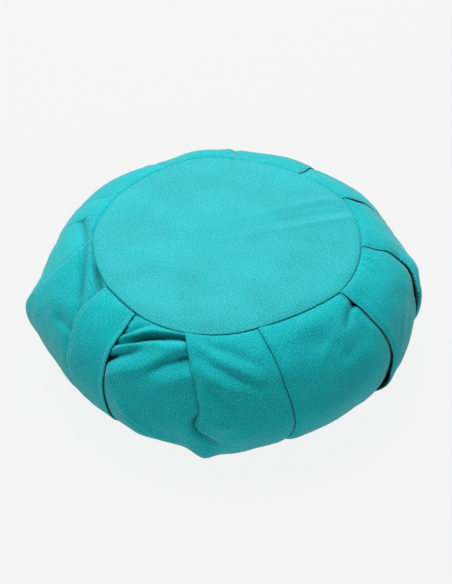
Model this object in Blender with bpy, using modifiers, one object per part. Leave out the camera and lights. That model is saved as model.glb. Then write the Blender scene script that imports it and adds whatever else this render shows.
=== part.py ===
"""A round pleated meditation cushion (zafu), lying on its flat underside.

Metres, +Z up, origin on the floor under the middle of the cushion, front towards -Y.
A long strip of cotton is laid in pleats round two circles. This side band and the filling
that presses it out are one filled solid, with a shallow bed at each end for a round panel,
and one in its left front for the hemmed end of the strip, which laps over the filling slit.
Under each fold edge the band's surface runs back below the cloth that laps over it.

Angles are in degrees, anticlockwise from +X as seen from above. A slope is where a point
lies on the band's section: +90 at the top panel's seam, 0 at the fullest height and -90 at
the bottom panel's seam.
"""

from collections import namedtuple
from math import cos, exp, radians, sin

import bmesh
import bpy

# ---- driving sizes, in metres ------------------------------------------------------------
BAND_RADIUS = 0.180  # the band's mean radius at its fullest height
SEAM_HEIGHT = 0.124  # the top panel's seam above the floor
TOP_SEAM_RADIUS = 0.1235  # mean, because the seam is not a true circle
LOW_SEAM_RADIUS = 0.118
CROWN = 0.005  # how far the middle of the top panel stands above its seam
PANEL_CLOTH = 0.0022  # a panel with its seam allowance pressed under it
FLAP_CLOTH = 0.0017  # the strip's hemmed end
PIECE_GAP = 0.00035  # between pieces that lie on each other
PANEL_EDGE_GAP = 0.0005  # round the top panel's edge
LOW_EDGE_GAP = 0.0009  # round the bottom panel's edge
SEAM_DIP = 0.001  # how far the top seam is drawn in

# ---- how the folds are made --------------------------------------------------------------
GROOVE_SHARE = 0.35  # of a fold's step is the groove under it, and the rest is folded cloth
SEAM_SPREAD = 0.22  # degrees between a fold's columns where it is stitched flat
HEM_GAP = 0.25  # degrees between the flap's hems and the sides of its bed
STEP_FADE = 0.35  # power of the slope's cosine: folds are at their full height soon
TOP_FADE = 0.5  # the same for the band's departures from its mean section, above
LOW_FADE = 0.8  # and below, where the floor presses them flat

# ---- how finely the band is divided ------------------------------------------------------
ROWS = 20  # between the two seams
COLUMN_WIDTH = 6.0  # degrees, about, on a pleat's face
PANEL_RINGS = (0.94, 0.75, 0.45)  # as shares of the panel's radius
BOTTOM_SIDES = 96

# One row for each fold edge, anticlockwise:
#   top, mid, low    where the edge lies at the top seam, at half height and at the low seam
#   tail             how far past the mean section, in mm, the cloth stands that runs in
#                    under the edge
#   edge, face       the same for the edge itself, and half way on to the next fold
#   tuck             how far the cloth runs in under the edge, in degrees
#   seam, seam_face  the top seam's departure from its mean radius, in mm, at the edge and
#                    half way on to the next fold
Fold = namedtuple("Fold", "name top mid low tail edge face tuck seam seam_face")
FOLDS = (
    Fold("front", 254.0, 262.5, 264.5, -1.6, 1.6, -0.6, 1.2, 4.5, 2.0),
    Fold("front_right", 283.4, 289.7, 288.6, -3.9, -1.8, -4.4, 1.1, -3.4, -5.8),
    Fold("right_front", 325.0, 328.7, 321.0, -4.0, 2.4, -1.8, 2.6, -0.3, -0.2),
    Fold("right", 356.4, 359.5, 356.0, -1.6, 4.2, -3.8, 2.6, 0.1, 1.4),
    Fold("right_back", 390.4, 387.0, 385.0, -5.6, -1.8, -2.9, 2.2, 3.4, 0.2),
    Fold("back_right", 415.9, 416.3, 417.0, -5.4, -2.2, 0.2, 1.4, 0.7, -0.1),
    Fold("back", 445.9, 446.7, 447.0, -0.2, 2.2, -0.8, 1.2, 2.2, 5.7),
    Fold("back_left", 478.0, 478.5, 479.0, -5.6, -2.4, -3.6, 1.4, 2.4, -0.8),
    Fold("left_back", 507.0, 511.5, 513.0, -5.0, -2.5, -4.4, 1.2, -0.2, -1.7),
    Fold("left_pinch", 523.5, 525.0, 527.0, -7.6, -5.4, -6.0, 1.0, -1.2, -0.8),
    Fold("left", 538.0, 547.5, 549.0, -1.8, 3.0, -3.4, 1.2, -0.8, -2.0),
    Fold("flap_start", 571.0, 578.5, 580.5, -5.6, -4.0, -3.7, 0.0, -0.7, -0.4),
    Fold("flap_end", 591.5, 593.5, 597.0, -4.2, -5.9, -2.2, 0.0, 2.1, 4.1),
)
FLAP_START = next(fold for fold in FOLDS if fold.name == "flap_start")
FLAP_END = next(fold for fold in FOLDS if fold.name == "flap_end")

# Where the filling pushes the cloth out or leaves it slack: the middle of the place, its
# half widths along and across the band in degrees, and how far out it stands, in mm.
Lump = namedtuple("Lump", "angle slope wide high out")
LUMPS = (
    Lump(190.5, 0.0, 5.5, 45.0, 5.8),  # the corner at the left
    Lump(265.5, -50.0, 6.0, 22.0, 9.5),  # the corner low at the front
    Lump(243.0, 68.0, 11.0, 9.0, -2.5),  # cloth drawn in beside the flap
    Lump(246.0, 20.0, 12.0, 30.0, 1.5),  # and pressed out below
    Lump(171.0, 30.0, 6.0, 25.0, -1.5),  # slack under the small pinched pleat
    Lump(320.0, -10.0, 6.0, 30.0, 2.0),  # where the right front pleat stands off
)

TEAL = (0.020, 0.475, 0.500, 1.0)
PALE_TEAL = (0.030, 0.540, 0.560, 1.0)
DEEP_TEAL = (0.012, 0.400, 0.425, 1.0)

Column = namedtuple("Column", "angle out seam sunk")  # degrees, and the rest in metres


def clear_scene():
    for item in list(bpy.data.objects):
        bpy.data.objects.remove(item, do_unlink=True)


def cotton(name, colour):
    material = bpy.data.materials.new(name)
    material.use_nodes = True
    shader = material.node_tree.nodes["Principled BSDF"]
    shader.inputs["Base Color"].default_value = colour
    shader.inputs["Roughness"].default_value = 0.92
    shader.inputs["Metallic"].default_value = 0.0
    return material


def through(start, middle, end, share):
    """The smooth run through three values, at shares of 0, 1/2 and 1."""
    first = start * (1 - share) * (1 - 2 * share)
    last = end * share * (2 * share - 1)
    return first + middle * 4 * share * (1 - share) + last


def fold_angle(fold, slope):
    return through(fold.top, fold.mid, fold.low, (90 - slope) / 180)


def lumps(angle, slope):
    """How far the filling pushes the cloth out here, in metres."""
    out = 0.0
    for lump in LUMPS:
        along = ((angle - lump.angle + 180) % 360 - 180) / lump.wide
        across = (slope - lump.slope) / lump.high
        out += lump.out / 1000 * exp(-(along**2) - across**2)
    return out


def band_point(column, slope):
    """The place of a column at a slope: its height and distance from the middle are those of
    a half ellipse between the seams, moved along the surface's normal."""
    level, rise = cos(radians(slope)), sin(radians(slope))
    seam = TOP_SEAM_RADIUS + column.seam if slope > 0 else LOW_SEAM_RADIUS
    fade = max(level, 0.0) ** (TOP_FADE if slope > 0 else LOW_FADE)
    out = (column.out + lumps(column.angle, slope)) * fade
    reach = seam + (BAND_RADIUS - seam) * level + out * level
    height = SEAM_HEIGHT / 2 * (1 + rise) + out * rise
    height = max(height - SEAM_DIP * exp(-(((90 - slope) / 6) ** 2)), 0.0)
    reach -= column.sunk * level
    height -= column.sunk * rise
    turn = radians(column.angle)
    return reach * cos(turn), reach * sin(turn), height


def face_columns(fold, after, slope, share_list, sunk):
    """Columns across a pleat's face, at shares of the way from its fold to the next."""
    start = fold_angle(fold, slope)
    width = fold_angle(after, slope) - start
    columns = []
    for share in share_list:
        out = through(fold.edge, fold.face, after.tail, share) / 1000
        seam = through(fold.seam, fold.seam_face, after.seam, share) / 1000
        columns.append(Column(start + width * share, out, seam, sunk))
    return columns


def shares(fold, after):
    """Even shares of a pleat's face, without its ends."""
    count = max(2, round((after.mid - fold.mid) / COLUMN_WIDTH) - 1)
    return [(number + 1) / (count + 1) for number in range(count)]


def looseness(slope):
    """0 at the seams, where the folds are stitched flat, and 1 at the fullest height."""
    return max(cos(radians(slope)), 0.0) ** STEP_FADE


def folds_with_next():
    first = FOLDS[0]
    again = first._replace(top=first.top + 360, mid=first.mid + 360, low=first.low + 360)
    return zip(FOLDS, FOLDS[1:] + (again,))


def band_columns(slope):
    """All round the band: at each fold the end of the cloth that runs in under it, the
    inside of its edge and the outside, and then the face of the cloth on top."""
    loose = looseness(slope)
    spread = SEAM_SPREAD * (1 - loose)
    bed = FLAP_CLOTH + PIECE_GAP
    columns = []
    for fold, after in folds_with_next():
        angle, seam = fold_angle(fold, slope), fold.seam / 1000
        under_sunk = bed if fold is FLAP_END else 0.0
        over_sunk = bed if fold is FLAP_START else 0.0
        tail, edge = fold.tail / 1000, fold.edge / 1000
        inside = tail + GROOVE_SHARE * (edge - tail)
        under = angle - spread + fold.tuck * loose
        columns.append(Column(under, tail, seam, under_sunk))
        columns.append(Column(angle, inside, seam, (under_sunk + over_sunk) / 2))
        columns.append(Column(angle + spread, edge, seam, over_sunk))
        columns += face_columns(fold, after, slope, shares(fold, after), over_sunk)
    return columns


def panel_ring(columns, share, inset, drop):
    """A ring of the crowned top, at a share of the seam's radius."""
    ring = []
    for column in columns:
        reach = (TOP_SEAM_RADIUS + column.seam - inset) * share
        height = SEAM_HEIGHT - SEAM_DIP + CROWN * (1 - share**2) - drop
        turn = radians(column.angle)
        ring.append((reach * cos(turn), reach * sin(turn), height))
    return ring


def loft(name, rings, material, start=None, end=None, around=True):
    """An object whose faces join each ring to the next, closed by a point at either end."""
    mesh = bmesh.new()
    rows = [[mesh.verts.new(point) for point in ring] for ring in rings]
    count = len(rows[0])
    steps = range(count if around else count - 1)
    for upper, lower in zip(rows, rows[1:]):
        for n in steps:
            m = (n + 1) % count
            mesh.faces.new((upper[n], lower[n], lower[m], upper[m]))
    if start is not None:
        tip = mesh.verts.new(start)
        for n in steps:
            mesh.faces.new((tip, rows[0][n], rows[0][(n + 1) % count]))
    if end is not None:
        tip = mesh.verts.new(end)
        for n in steps:
            mesh.faces.new((tip, rows[-1][(n + 1) % count], rows[-1][n]))
    return finish(name, mesh, material)


def finish(name, mesh, material):
    data = bpy.data.meshes.new(name)
    mesh.to_mesh(data)
    mesh.free()
    data.materials.append(material)
    data.shade_smooth()
    data.set_sharp_from_angle(angle=radians(50))
    piece = bpy.data.objects.new(name, data)
    parts.objects.link(piece)
    return piece


def make_side_band():
    slopes = [90 - 180 * row / (ROWS - 1) for row in range(ROWS)]
    seam_columns = band_columns(90)
    drop = PANEL_CLOTH + PIECE_GAP
    bed = [panel_ring(seam_columns, share, 0.0, drop) for share in reversed((1.0,) + PANEL_RINGS)]
    side = []
    for slope in slopes:
        side.append([band_point(column, slope) for column in band_columns(slope)])
    ceiling = [(x, y, drop) for x, y, _ in side[-1]]
    top_middle = (0.0, 0.0, SEAM_HEIGHT - SEAM_DIP + CROWN - drop)
    rings = bed + side + [ceiling]
    loft("side_band", rings, cotton("Band cotton", TEAL), top_middle, (0.0, 0.0, drop))


def make_top_panel():
    columns = band_columns(90)
    rings = [
        panel_ring(columns, share, PANEL_EDGE_GAP, 0.0)
        for share in reversed((1.0,) + PANEL_RINGS)
    ]
    middle = (0.0, 0.0, SEAM_HEIGHT - SEAM_DIP + CROWN)
    panel = loft("top_panel", rings, cotton("Panel cotton", PALE_TEAL), middle)
    thicken(panel, PANEL_CLOTH)


def make_bottom_panel():
    mesh = bmesh.new()
    radius = LOW_SEAM_RADIUS - LOW_EDGE_GAP
    bmesh.ops.create_cone(
        mesh,
        cap_ends=True,
        segments=BOTTOM_SIDES,
        radius1=radius,
        radius2=radius,
        depth=PANEL_CLOTH,
    )
    panel = finish("bottom_panel", mesh, cotton("Underside cotton", TEAL))
    panel.location.z = PANEL_CLOTH / 2


def make_closing_flap():
    """The strip's hemmed end, over its bed from seam to seam."""
    rows = []
    for row in range(ROWS):
        slope = 90 - 180 * row / (ROWS - 1)
        hem = HEM_GAP + SEAM_SPREAD * (1 - looseness(slope))
        ends = face_columns(FLAP_START, FLAP_END, slope, (0.0, 1.0), 0.0)
        middle = face_columns(FLAP_START, FLAP_END, slope, shares(FLAP_START, FLAP_END), 0.0)
        first = ends[0]._replace(angle=ends[0].angle + hem)
        last = ends[1]._replace(angle=ends[1].angle - hem)
        rows.append([band_point(column, slope) for column in (first, *middle, last)])
    flap = loft("closing_flap", rows, cotton("Flap cotton", DEEP_TEAL), around=False)
    thicken(flap, FLAP_CLOTH)


def thicken(piece, cloth):
    """Gives an open surface its thickness, inwards."""
    solid = piece.modifiers.new("Cloth", "SOLIDIFY")
    solid.thickness = cloth
    solid.offset = -1.0
    solid.use_even_offset = True


clear_scene()
parts = bpy.data.collections.new("Zafu cushion")
bpy.context.scene.collection.children.link(parts)
make_side_band()
make_top_panel()
make_bottom_panel()
make_closing_flap()
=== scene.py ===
"""A round pleated meditation cushion (zafu) in teal cotton twill, lying on a pale floor.

Metres, +Z up, origin on the floor under the middle of the cushion, front towards -Y.
Four pieces stand for the CAD's four: the pleated side band with its filling, the round
panel on top, the one underneath, and the hemmed end of the band, which laps over the slit
that the filling went in by.

Angles are in degrees, anticlockwise from +X as seen from above. A slope is where a point
lies on the band's section: +90 at the top panel's seam, 0 at the fullest height and -90 at
the bottom panel's seam. A place on the band is an angle and a slope. The cloth is laid in
knife pleats: at each fold line the cloth that comes from the next pleat lies on top, turns
under at the fold line, runs back below itself and then comes out as this pleat.
"""

from collections import namedtuple

import bpy
import numpy as np
from bpy.props import FloatProperty, FloatVectorProperty, PointerProperty
from bpy.types import Operator, Panel, PropertyGroup
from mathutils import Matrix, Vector


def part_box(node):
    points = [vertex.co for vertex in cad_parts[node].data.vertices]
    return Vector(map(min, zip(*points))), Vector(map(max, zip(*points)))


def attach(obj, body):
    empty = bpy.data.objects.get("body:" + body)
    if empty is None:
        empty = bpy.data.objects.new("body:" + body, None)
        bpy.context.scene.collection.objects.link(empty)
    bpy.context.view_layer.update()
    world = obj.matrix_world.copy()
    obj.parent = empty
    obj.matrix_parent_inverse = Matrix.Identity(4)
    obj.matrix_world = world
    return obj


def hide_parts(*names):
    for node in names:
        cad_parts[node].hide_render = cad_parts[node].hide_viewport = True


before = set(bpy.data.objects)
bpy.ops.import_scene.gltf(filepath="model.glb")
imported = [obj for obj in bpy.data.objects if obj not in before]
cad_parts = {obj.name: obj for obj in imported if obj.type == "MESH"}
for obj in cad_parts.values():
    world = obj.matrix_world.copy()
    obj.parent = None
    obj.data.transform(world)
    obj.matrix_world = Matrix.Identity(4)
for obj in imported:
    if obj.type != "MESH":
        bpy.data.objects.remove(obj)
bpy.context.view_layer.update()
PANEL_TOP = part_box("top_panel")[1][2]  # the crown's highest point above the floor

bl_info = {
    "name": "Zafu cushion",
    "version": (1, 0, 0),
    "blender": (4, 5, 0),
    "location": "3D View > Sidebar > Zafu",
    "description": "Builds a round pleated meditation cushion and its studio",
    "category": "Add Mesh",
}

# ---- the folds ---------------------------------------------------------------------------

# Where each fold line runs, as (angle, slope) from the top seam down to the low seam.
FOLD_LINES = {
    "front": (
        (254.1, 90), (256.2, 77), (257.7, 66), (259.4, 53), (261.0, 41), (261.9, 29),
        (262.6, 18), (262.4, 12), (261.5, 6), (261.2, -1), (261.9, -8), (263.6, -13),
        (264.8, -19), (266.0, -30), (265.5, -60), (264.5, -90),
    ),
    "front_right": (
        (283.4, 90), (285.1, 74), (286.8, 58), (287.6, 45), (288.2, 34), (289.1, 22),
        (289.8, 8), (290.4, -6), (290.2, -20), (289.8, -32), (289.0, -90),
    ),
    "right_front": (
        (325.0, 90), (325.0, 77), (325.6, 68), (325.9, 55), (326.8, 41), (327.7, 28),
        (328.4, 16), (328.6, 8), (328.0, -2), (326.6, -10), (325.5, -20), (325.0, -32),
        (326.0, -50), (326.0, -90),
    ),
    "right": (
        (356.4, 90), (357.3, 75), (358.7, 62), (358.9, 52), (357.9, 43), (355.4, 35),
        (352.8, 28), (351.2, 20), (351.2, 8), (352.5, -12), (355.0, -40), (357.0, -90),
    ),
    "right_back": (
        (390.4, 90), (388.9, 75), (388.4, 66), (387.8, 59), (386.2, 50), (384.0, 40),
        (383.5, 15), (384.0, -30), (385.0, -90),
    ),
    "back_right": ((415.9, 90), (416.3, 75), (417.2, 58), (416.5, 10), (417.0, -90)),
    "back": ((445.9, 90), (447.3, 65), (446.8, 20), (447.0, -90)),
    "back_left": ((478.0, 90), (478.6, 50), (478.2, 0), (479.0, -90)),
    "left_back": ((507.0, 90), (509.2, 77), (510.2, 58), (511.5, 0), (513.0, -90)),
    "left_pinch": ((523.6, 90), (522.2, 75), (522.7, 64), (525.0, 20), (527.0, -90)),
    "left": (
        (538.0, 90), (539.7, 86), (543.2, 79), (546.4, 70), (548.2, 60), (549.2, 48),
        (549.6, 38), (549.2, 28), (548.5, 0), (549.0, -90),
    ),
    "flap_start": (
        (570.9, 90), (571.4, 76), (571.5, 65), (571.7, 57), (572.5, 50), (573.5, 44),
        (574.5, 37), (575.4, 25), (576.2, 10), (577.5, -15), (580.5, -90),
    ),
    "flap_end": (
        (591.3, 90), (591.6, 71), (591.2, 59), (590.9, 47), (590.9, 37), (591.3, 26),
        (591.6, 12), (591.8, -5), (592.4, -21), (592.9, -37), (597.0, -90),
    ),
}

# One row for each fold, anticlockwise, in mm past the mean section:
#   under       the cloth that runs in under the fold line
#   edge, face  the cloth on top, at the line and half way on to the next one
#   seam, seam_face   the top seam's departure from its mean radius at the same two places
#   tuck        how far the cloth runs in under the line
#   wear  how much paler a painted highlight makes the fold along its edge, from 0 to 1
Fold = namedtuple("Fold", "name under edge face seam seam_face tuck wear")
FOLDS = (
    Fold("front", -1.6, 1.6, -0.6, 4.2, 2.0, 7.0, 0.0),
    Fold("front_right", -3.9, -1.8, -4.4, -3.4, -5.8, 7.0, 0.0),
    Fold("right_front", -4.0, 2.4, -1.8, -0.3, -0.2, 11.0, 0.15),
    Fold("right", -1.8, 2.8, -3.8, 0.1, 1.4, 11.0, 0.2),
    Fold("right_back", -5.6, -1.8, -2.9, 3.4, 0.2, 9.0, 0.25),
    Fold("back_right", -5.4, -2.2, 0.2, 0.7, -0.1, 7.0, 0.35),
    Fold("back", -0.2, 2.2, -0.8, 2.2, 5.7, 6.0, 0.35),
    Fold("back_left", -5.6, -2.4, -3.6, 2.4, -0.8, 7.0, 0.35),
    Fold("left_back", -5.0, -2.5, -4.4, -0.2, -1.7, 6.0, 0.5),
    Fold("left_pinch", -7.6, -5.4, -6.0, -1.2, -0.8, 5.0, 0.2),
    Fold("left", -1.8, 3.0, -3.4, -0.8, -2.0, 6.0, 0.9),
    Fold("flap_start", -5.6, -4.0, -3.7, -0.7, -0.4, 0.0, 0.0),
    Fold("flap_end", -4.2, -5.9, -2.2, 2.1, 4.1, 0.0, 0.0),
)

# At each fold line, at these slopes, in mm: how thick the folded cloth is, how far it stands
# off the cloth below it, and how deep both are drawn in. dark is how much painted shade
# darkens the crease's colour, from 0 to 1. What isn't listed has the first row's.
LIP_SLOPES = (90, 70, 45, 20, -5, -20, -40, -90)
Lip = namedtuple("Lip", "name thick gap nip dark")
LIPS = (
    Lip(
        "plain",
        (0.9, 1.2, 1.2, 1.2, 1.2, 1.2, 1.1, 0.7),
        (0.2, 0.5, 0.6, 0.7, 0.7, 0.7, 0.5, 0.3),
        (0.3, 1.2, 1.6, 1.8, 1.8, 1.8, 1.2, 0.3),
        (0.2, 0.4, 0.4, 0.4, 0.4, 0.4, 0.3, 0.2),
    ),
    Lip(
        "front",
        (0.9, 1.2, 1.3, 1.3, 1.0, 0.3, 0.1, 0.1),
        (0.2, 0.5, 0.7, 0.6, 0.4, 0.1, 0.05, 0.05),
        (0.3, 1.3, 2.4, 3.2, 3.4, 1.6, 0.0, 0.0),
        (0.3, 0.5, 0.4, 0.4, 0.25, 0.1, 0.0, 0.0),
    ),
    Lip(
        "front_right",
        (0.9, 1.2, 1.2, 1.2, 1.2, 1.2, 1.1, 0.7),
        (0.2, 0.5, 0.7, 0.8, 0.9, 0.9, 0.8, 0.3),
        (0.3, 1.8, 2.4, 2.8, 3.0, 3.0, 2.6, 0.3),
        (0.5, 0.55, 0.6, 0.7, 0.75, 0.75, 0.7, 0.2),
    ),
    Lip(
        "right_front",
        (0.9, 1.2, 1.6, 1.8, 1.8, 1.7, 1.2, 0.7),
        (0.3, 1.3, 1.5, 1.9, 3.2, 4.4, 1.0, 0.3),
        (0.3, 2.0, 2.6, 2.4, 1.4, 0.6, 0.6, 0.3),
        (0.6, 0.95, 0.75, 0.75, 0.85, 1.0, 0.8, 0.2),
    ),
    Lip(
        "right",
        (0.9, 1.4, 3.0, 4.8, 4.2, 2.2, 1.1, 0.7),
        (0.2, 0.6, 1.3, 2.5, 1.0, 0.5, 0.4, 0.3),
        (0.3, 1.6, 1.6, 1.0, 0.6, 0.6, 0.6, 0.3),
        (0.1, 0.6, 0.9, 1.0, 0.9, 0.6, 0.4, 0.2),
    ),
    Lip(
        "right_back",
        (0.9, 1.1, 1.0, 1.1, 1.2, 1.2, 1.1, 0.7),
        (0.3, 1.3, 0.25, 0.4, 0.5, 0.4, 0.3, 0.3),
        (0.3, 1.2, 1.2, 1.2, 1.2, 1.2, 1.0, 0.3),
        (0.1, 1.0, 0.3, 0.4, 0.3, 0.2, 0.2, 0.2),
    ),
    Lip(
        "back_right",
        (0.9, 1.2, 1.2, 1.2, 1.2, 1.2, 1.1, 0.7),
        (0.4, 0.8, 0.6, 0.7, 0.7, 0.7, 0.5, 0.3),
        (0.3, 1.2, 1.2, 1.2, 1.2, 1.2, 1.0, 0.3),
        (0.9, 0.9, 0.5, 0.4, 0.4, 0.4, 0.3, 0.2),
    ),
    Lip(
        "left_pinch",
        (0.7, 0.8, 0.8, 0.8, 0.8, 0.8, 0.8, 0.7),
        (0.2, 0.2, 0.2, 0.2, 0.2, 0.2, 0.2, 0.2),
        (0.2, 0.9, 0.6, 0.3, 0.3, 0.3, 0.3, 0.2),
        (0.2, 0.15, 0.0, 0.0, 0.0, 0.0, 0.0, 0.0),
    ),
    Lip(
        "left",
        (0.9, 1.1, 1.1, 1.1, 1.1, 1.1, 1.0, 0.7),
        (0.2, 0.3, 0.3, 0.4, 0.4, 0.4, 0.4, 0.3),
        (0.2, 0.5, 0.5, 0.5, 0.5, 0.5, 0.5, 0.3),
        (0.0, 0.4, 0.45, 0.45, 0.4, 0.3, 0.2, 0.2),
    ),
)

# Where the filling pushes the cloth out or leaves it slack: the middle of the place, its
# half widths along and across the band in degrees, and how far out it stands, in mm.
Lump = namedtuple("Lump", "angle slope wide high out")
LUMPS = (
    Lump(188.5, 5.0, 4.2, 24.0, 7.4),  # the corner at the left
    Lump(180.5, 22.0, 4.0, 20.0, -0.8),
    Lump(192.0, 6.0, 9.0, 40.0, 2.2),
    Lump(179.0, 24.0, 6.0, 25.0, 2.2),
    Lump(206.0, -22.0, 12.0, 20.0, -1.8),
    Lump(263.2, -50.0, 4.2, 22.0, 12.0),  # the corner low at the front
    Lump(270.5, -55.0, 7.0, 22.0, 4.5),
    Lump(251.5, -50.0, 5.0, 20.0, -2.0),
    Lump(243.0, 68.0, 11.0, 9.0, -2.5),  # cloth drawn in beside the flap
    Lump(246.0, 20.0, 12.0, 30.0, 1.5),  # and pressed out below
    Lump(247.0, -48.0, 6.0, 20.0, 1.2),
    Lump(171.0, 30.0, 6.0, 25.0, -1.5),  # slack under the small pinched pleat
    Lump(320.0, -10.0, 6.0, 30.0, 2.0),  # where the right front pleat stands off
    Lump(312.0, -45.0, 12.0, 20.0, 1.0),
    Lump(340.0, -20.0, 5.0, 20.0, 1.5),
    Lump(350.0, -8.0, 5.0, 25.0, 0.4),
    Lump(0.0, 28.0, 7.0, 12.5, 6.6),  # the fullest place on the right
    Lump(4.0, 50.0, 6.0, 10.0, -2.6),
    Lump(358.0, 5.0, 8.0, 16.0, -3.0),
    Lump(27.0, 50.0, 4.0, 20.0, -1.0),
    Lump(56.0, 48.0, 5.0, 20.0, 1.6),  # the back, from right to left
    Lump(74.0, 48.0, 10.0, 20.0, -1.6),
    Lump(108.0, 44.0, 10.0, 26.0, -3.0),
    Lump(112.5, 48.0, 3.0, 18.0, -1.6),
    Lump(119.5, 50.0, 3.5, 20.0, 1.2),
    Lump(133.0, 48.0, 8.0, 20.0, 1.2),
    Lump(150.0, 48.0, 4.0, 20.0, 1.2),
    Lump(229.0, -38.0, 9.0, 20.0, 1.4),  # full below the flap
)
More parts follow.
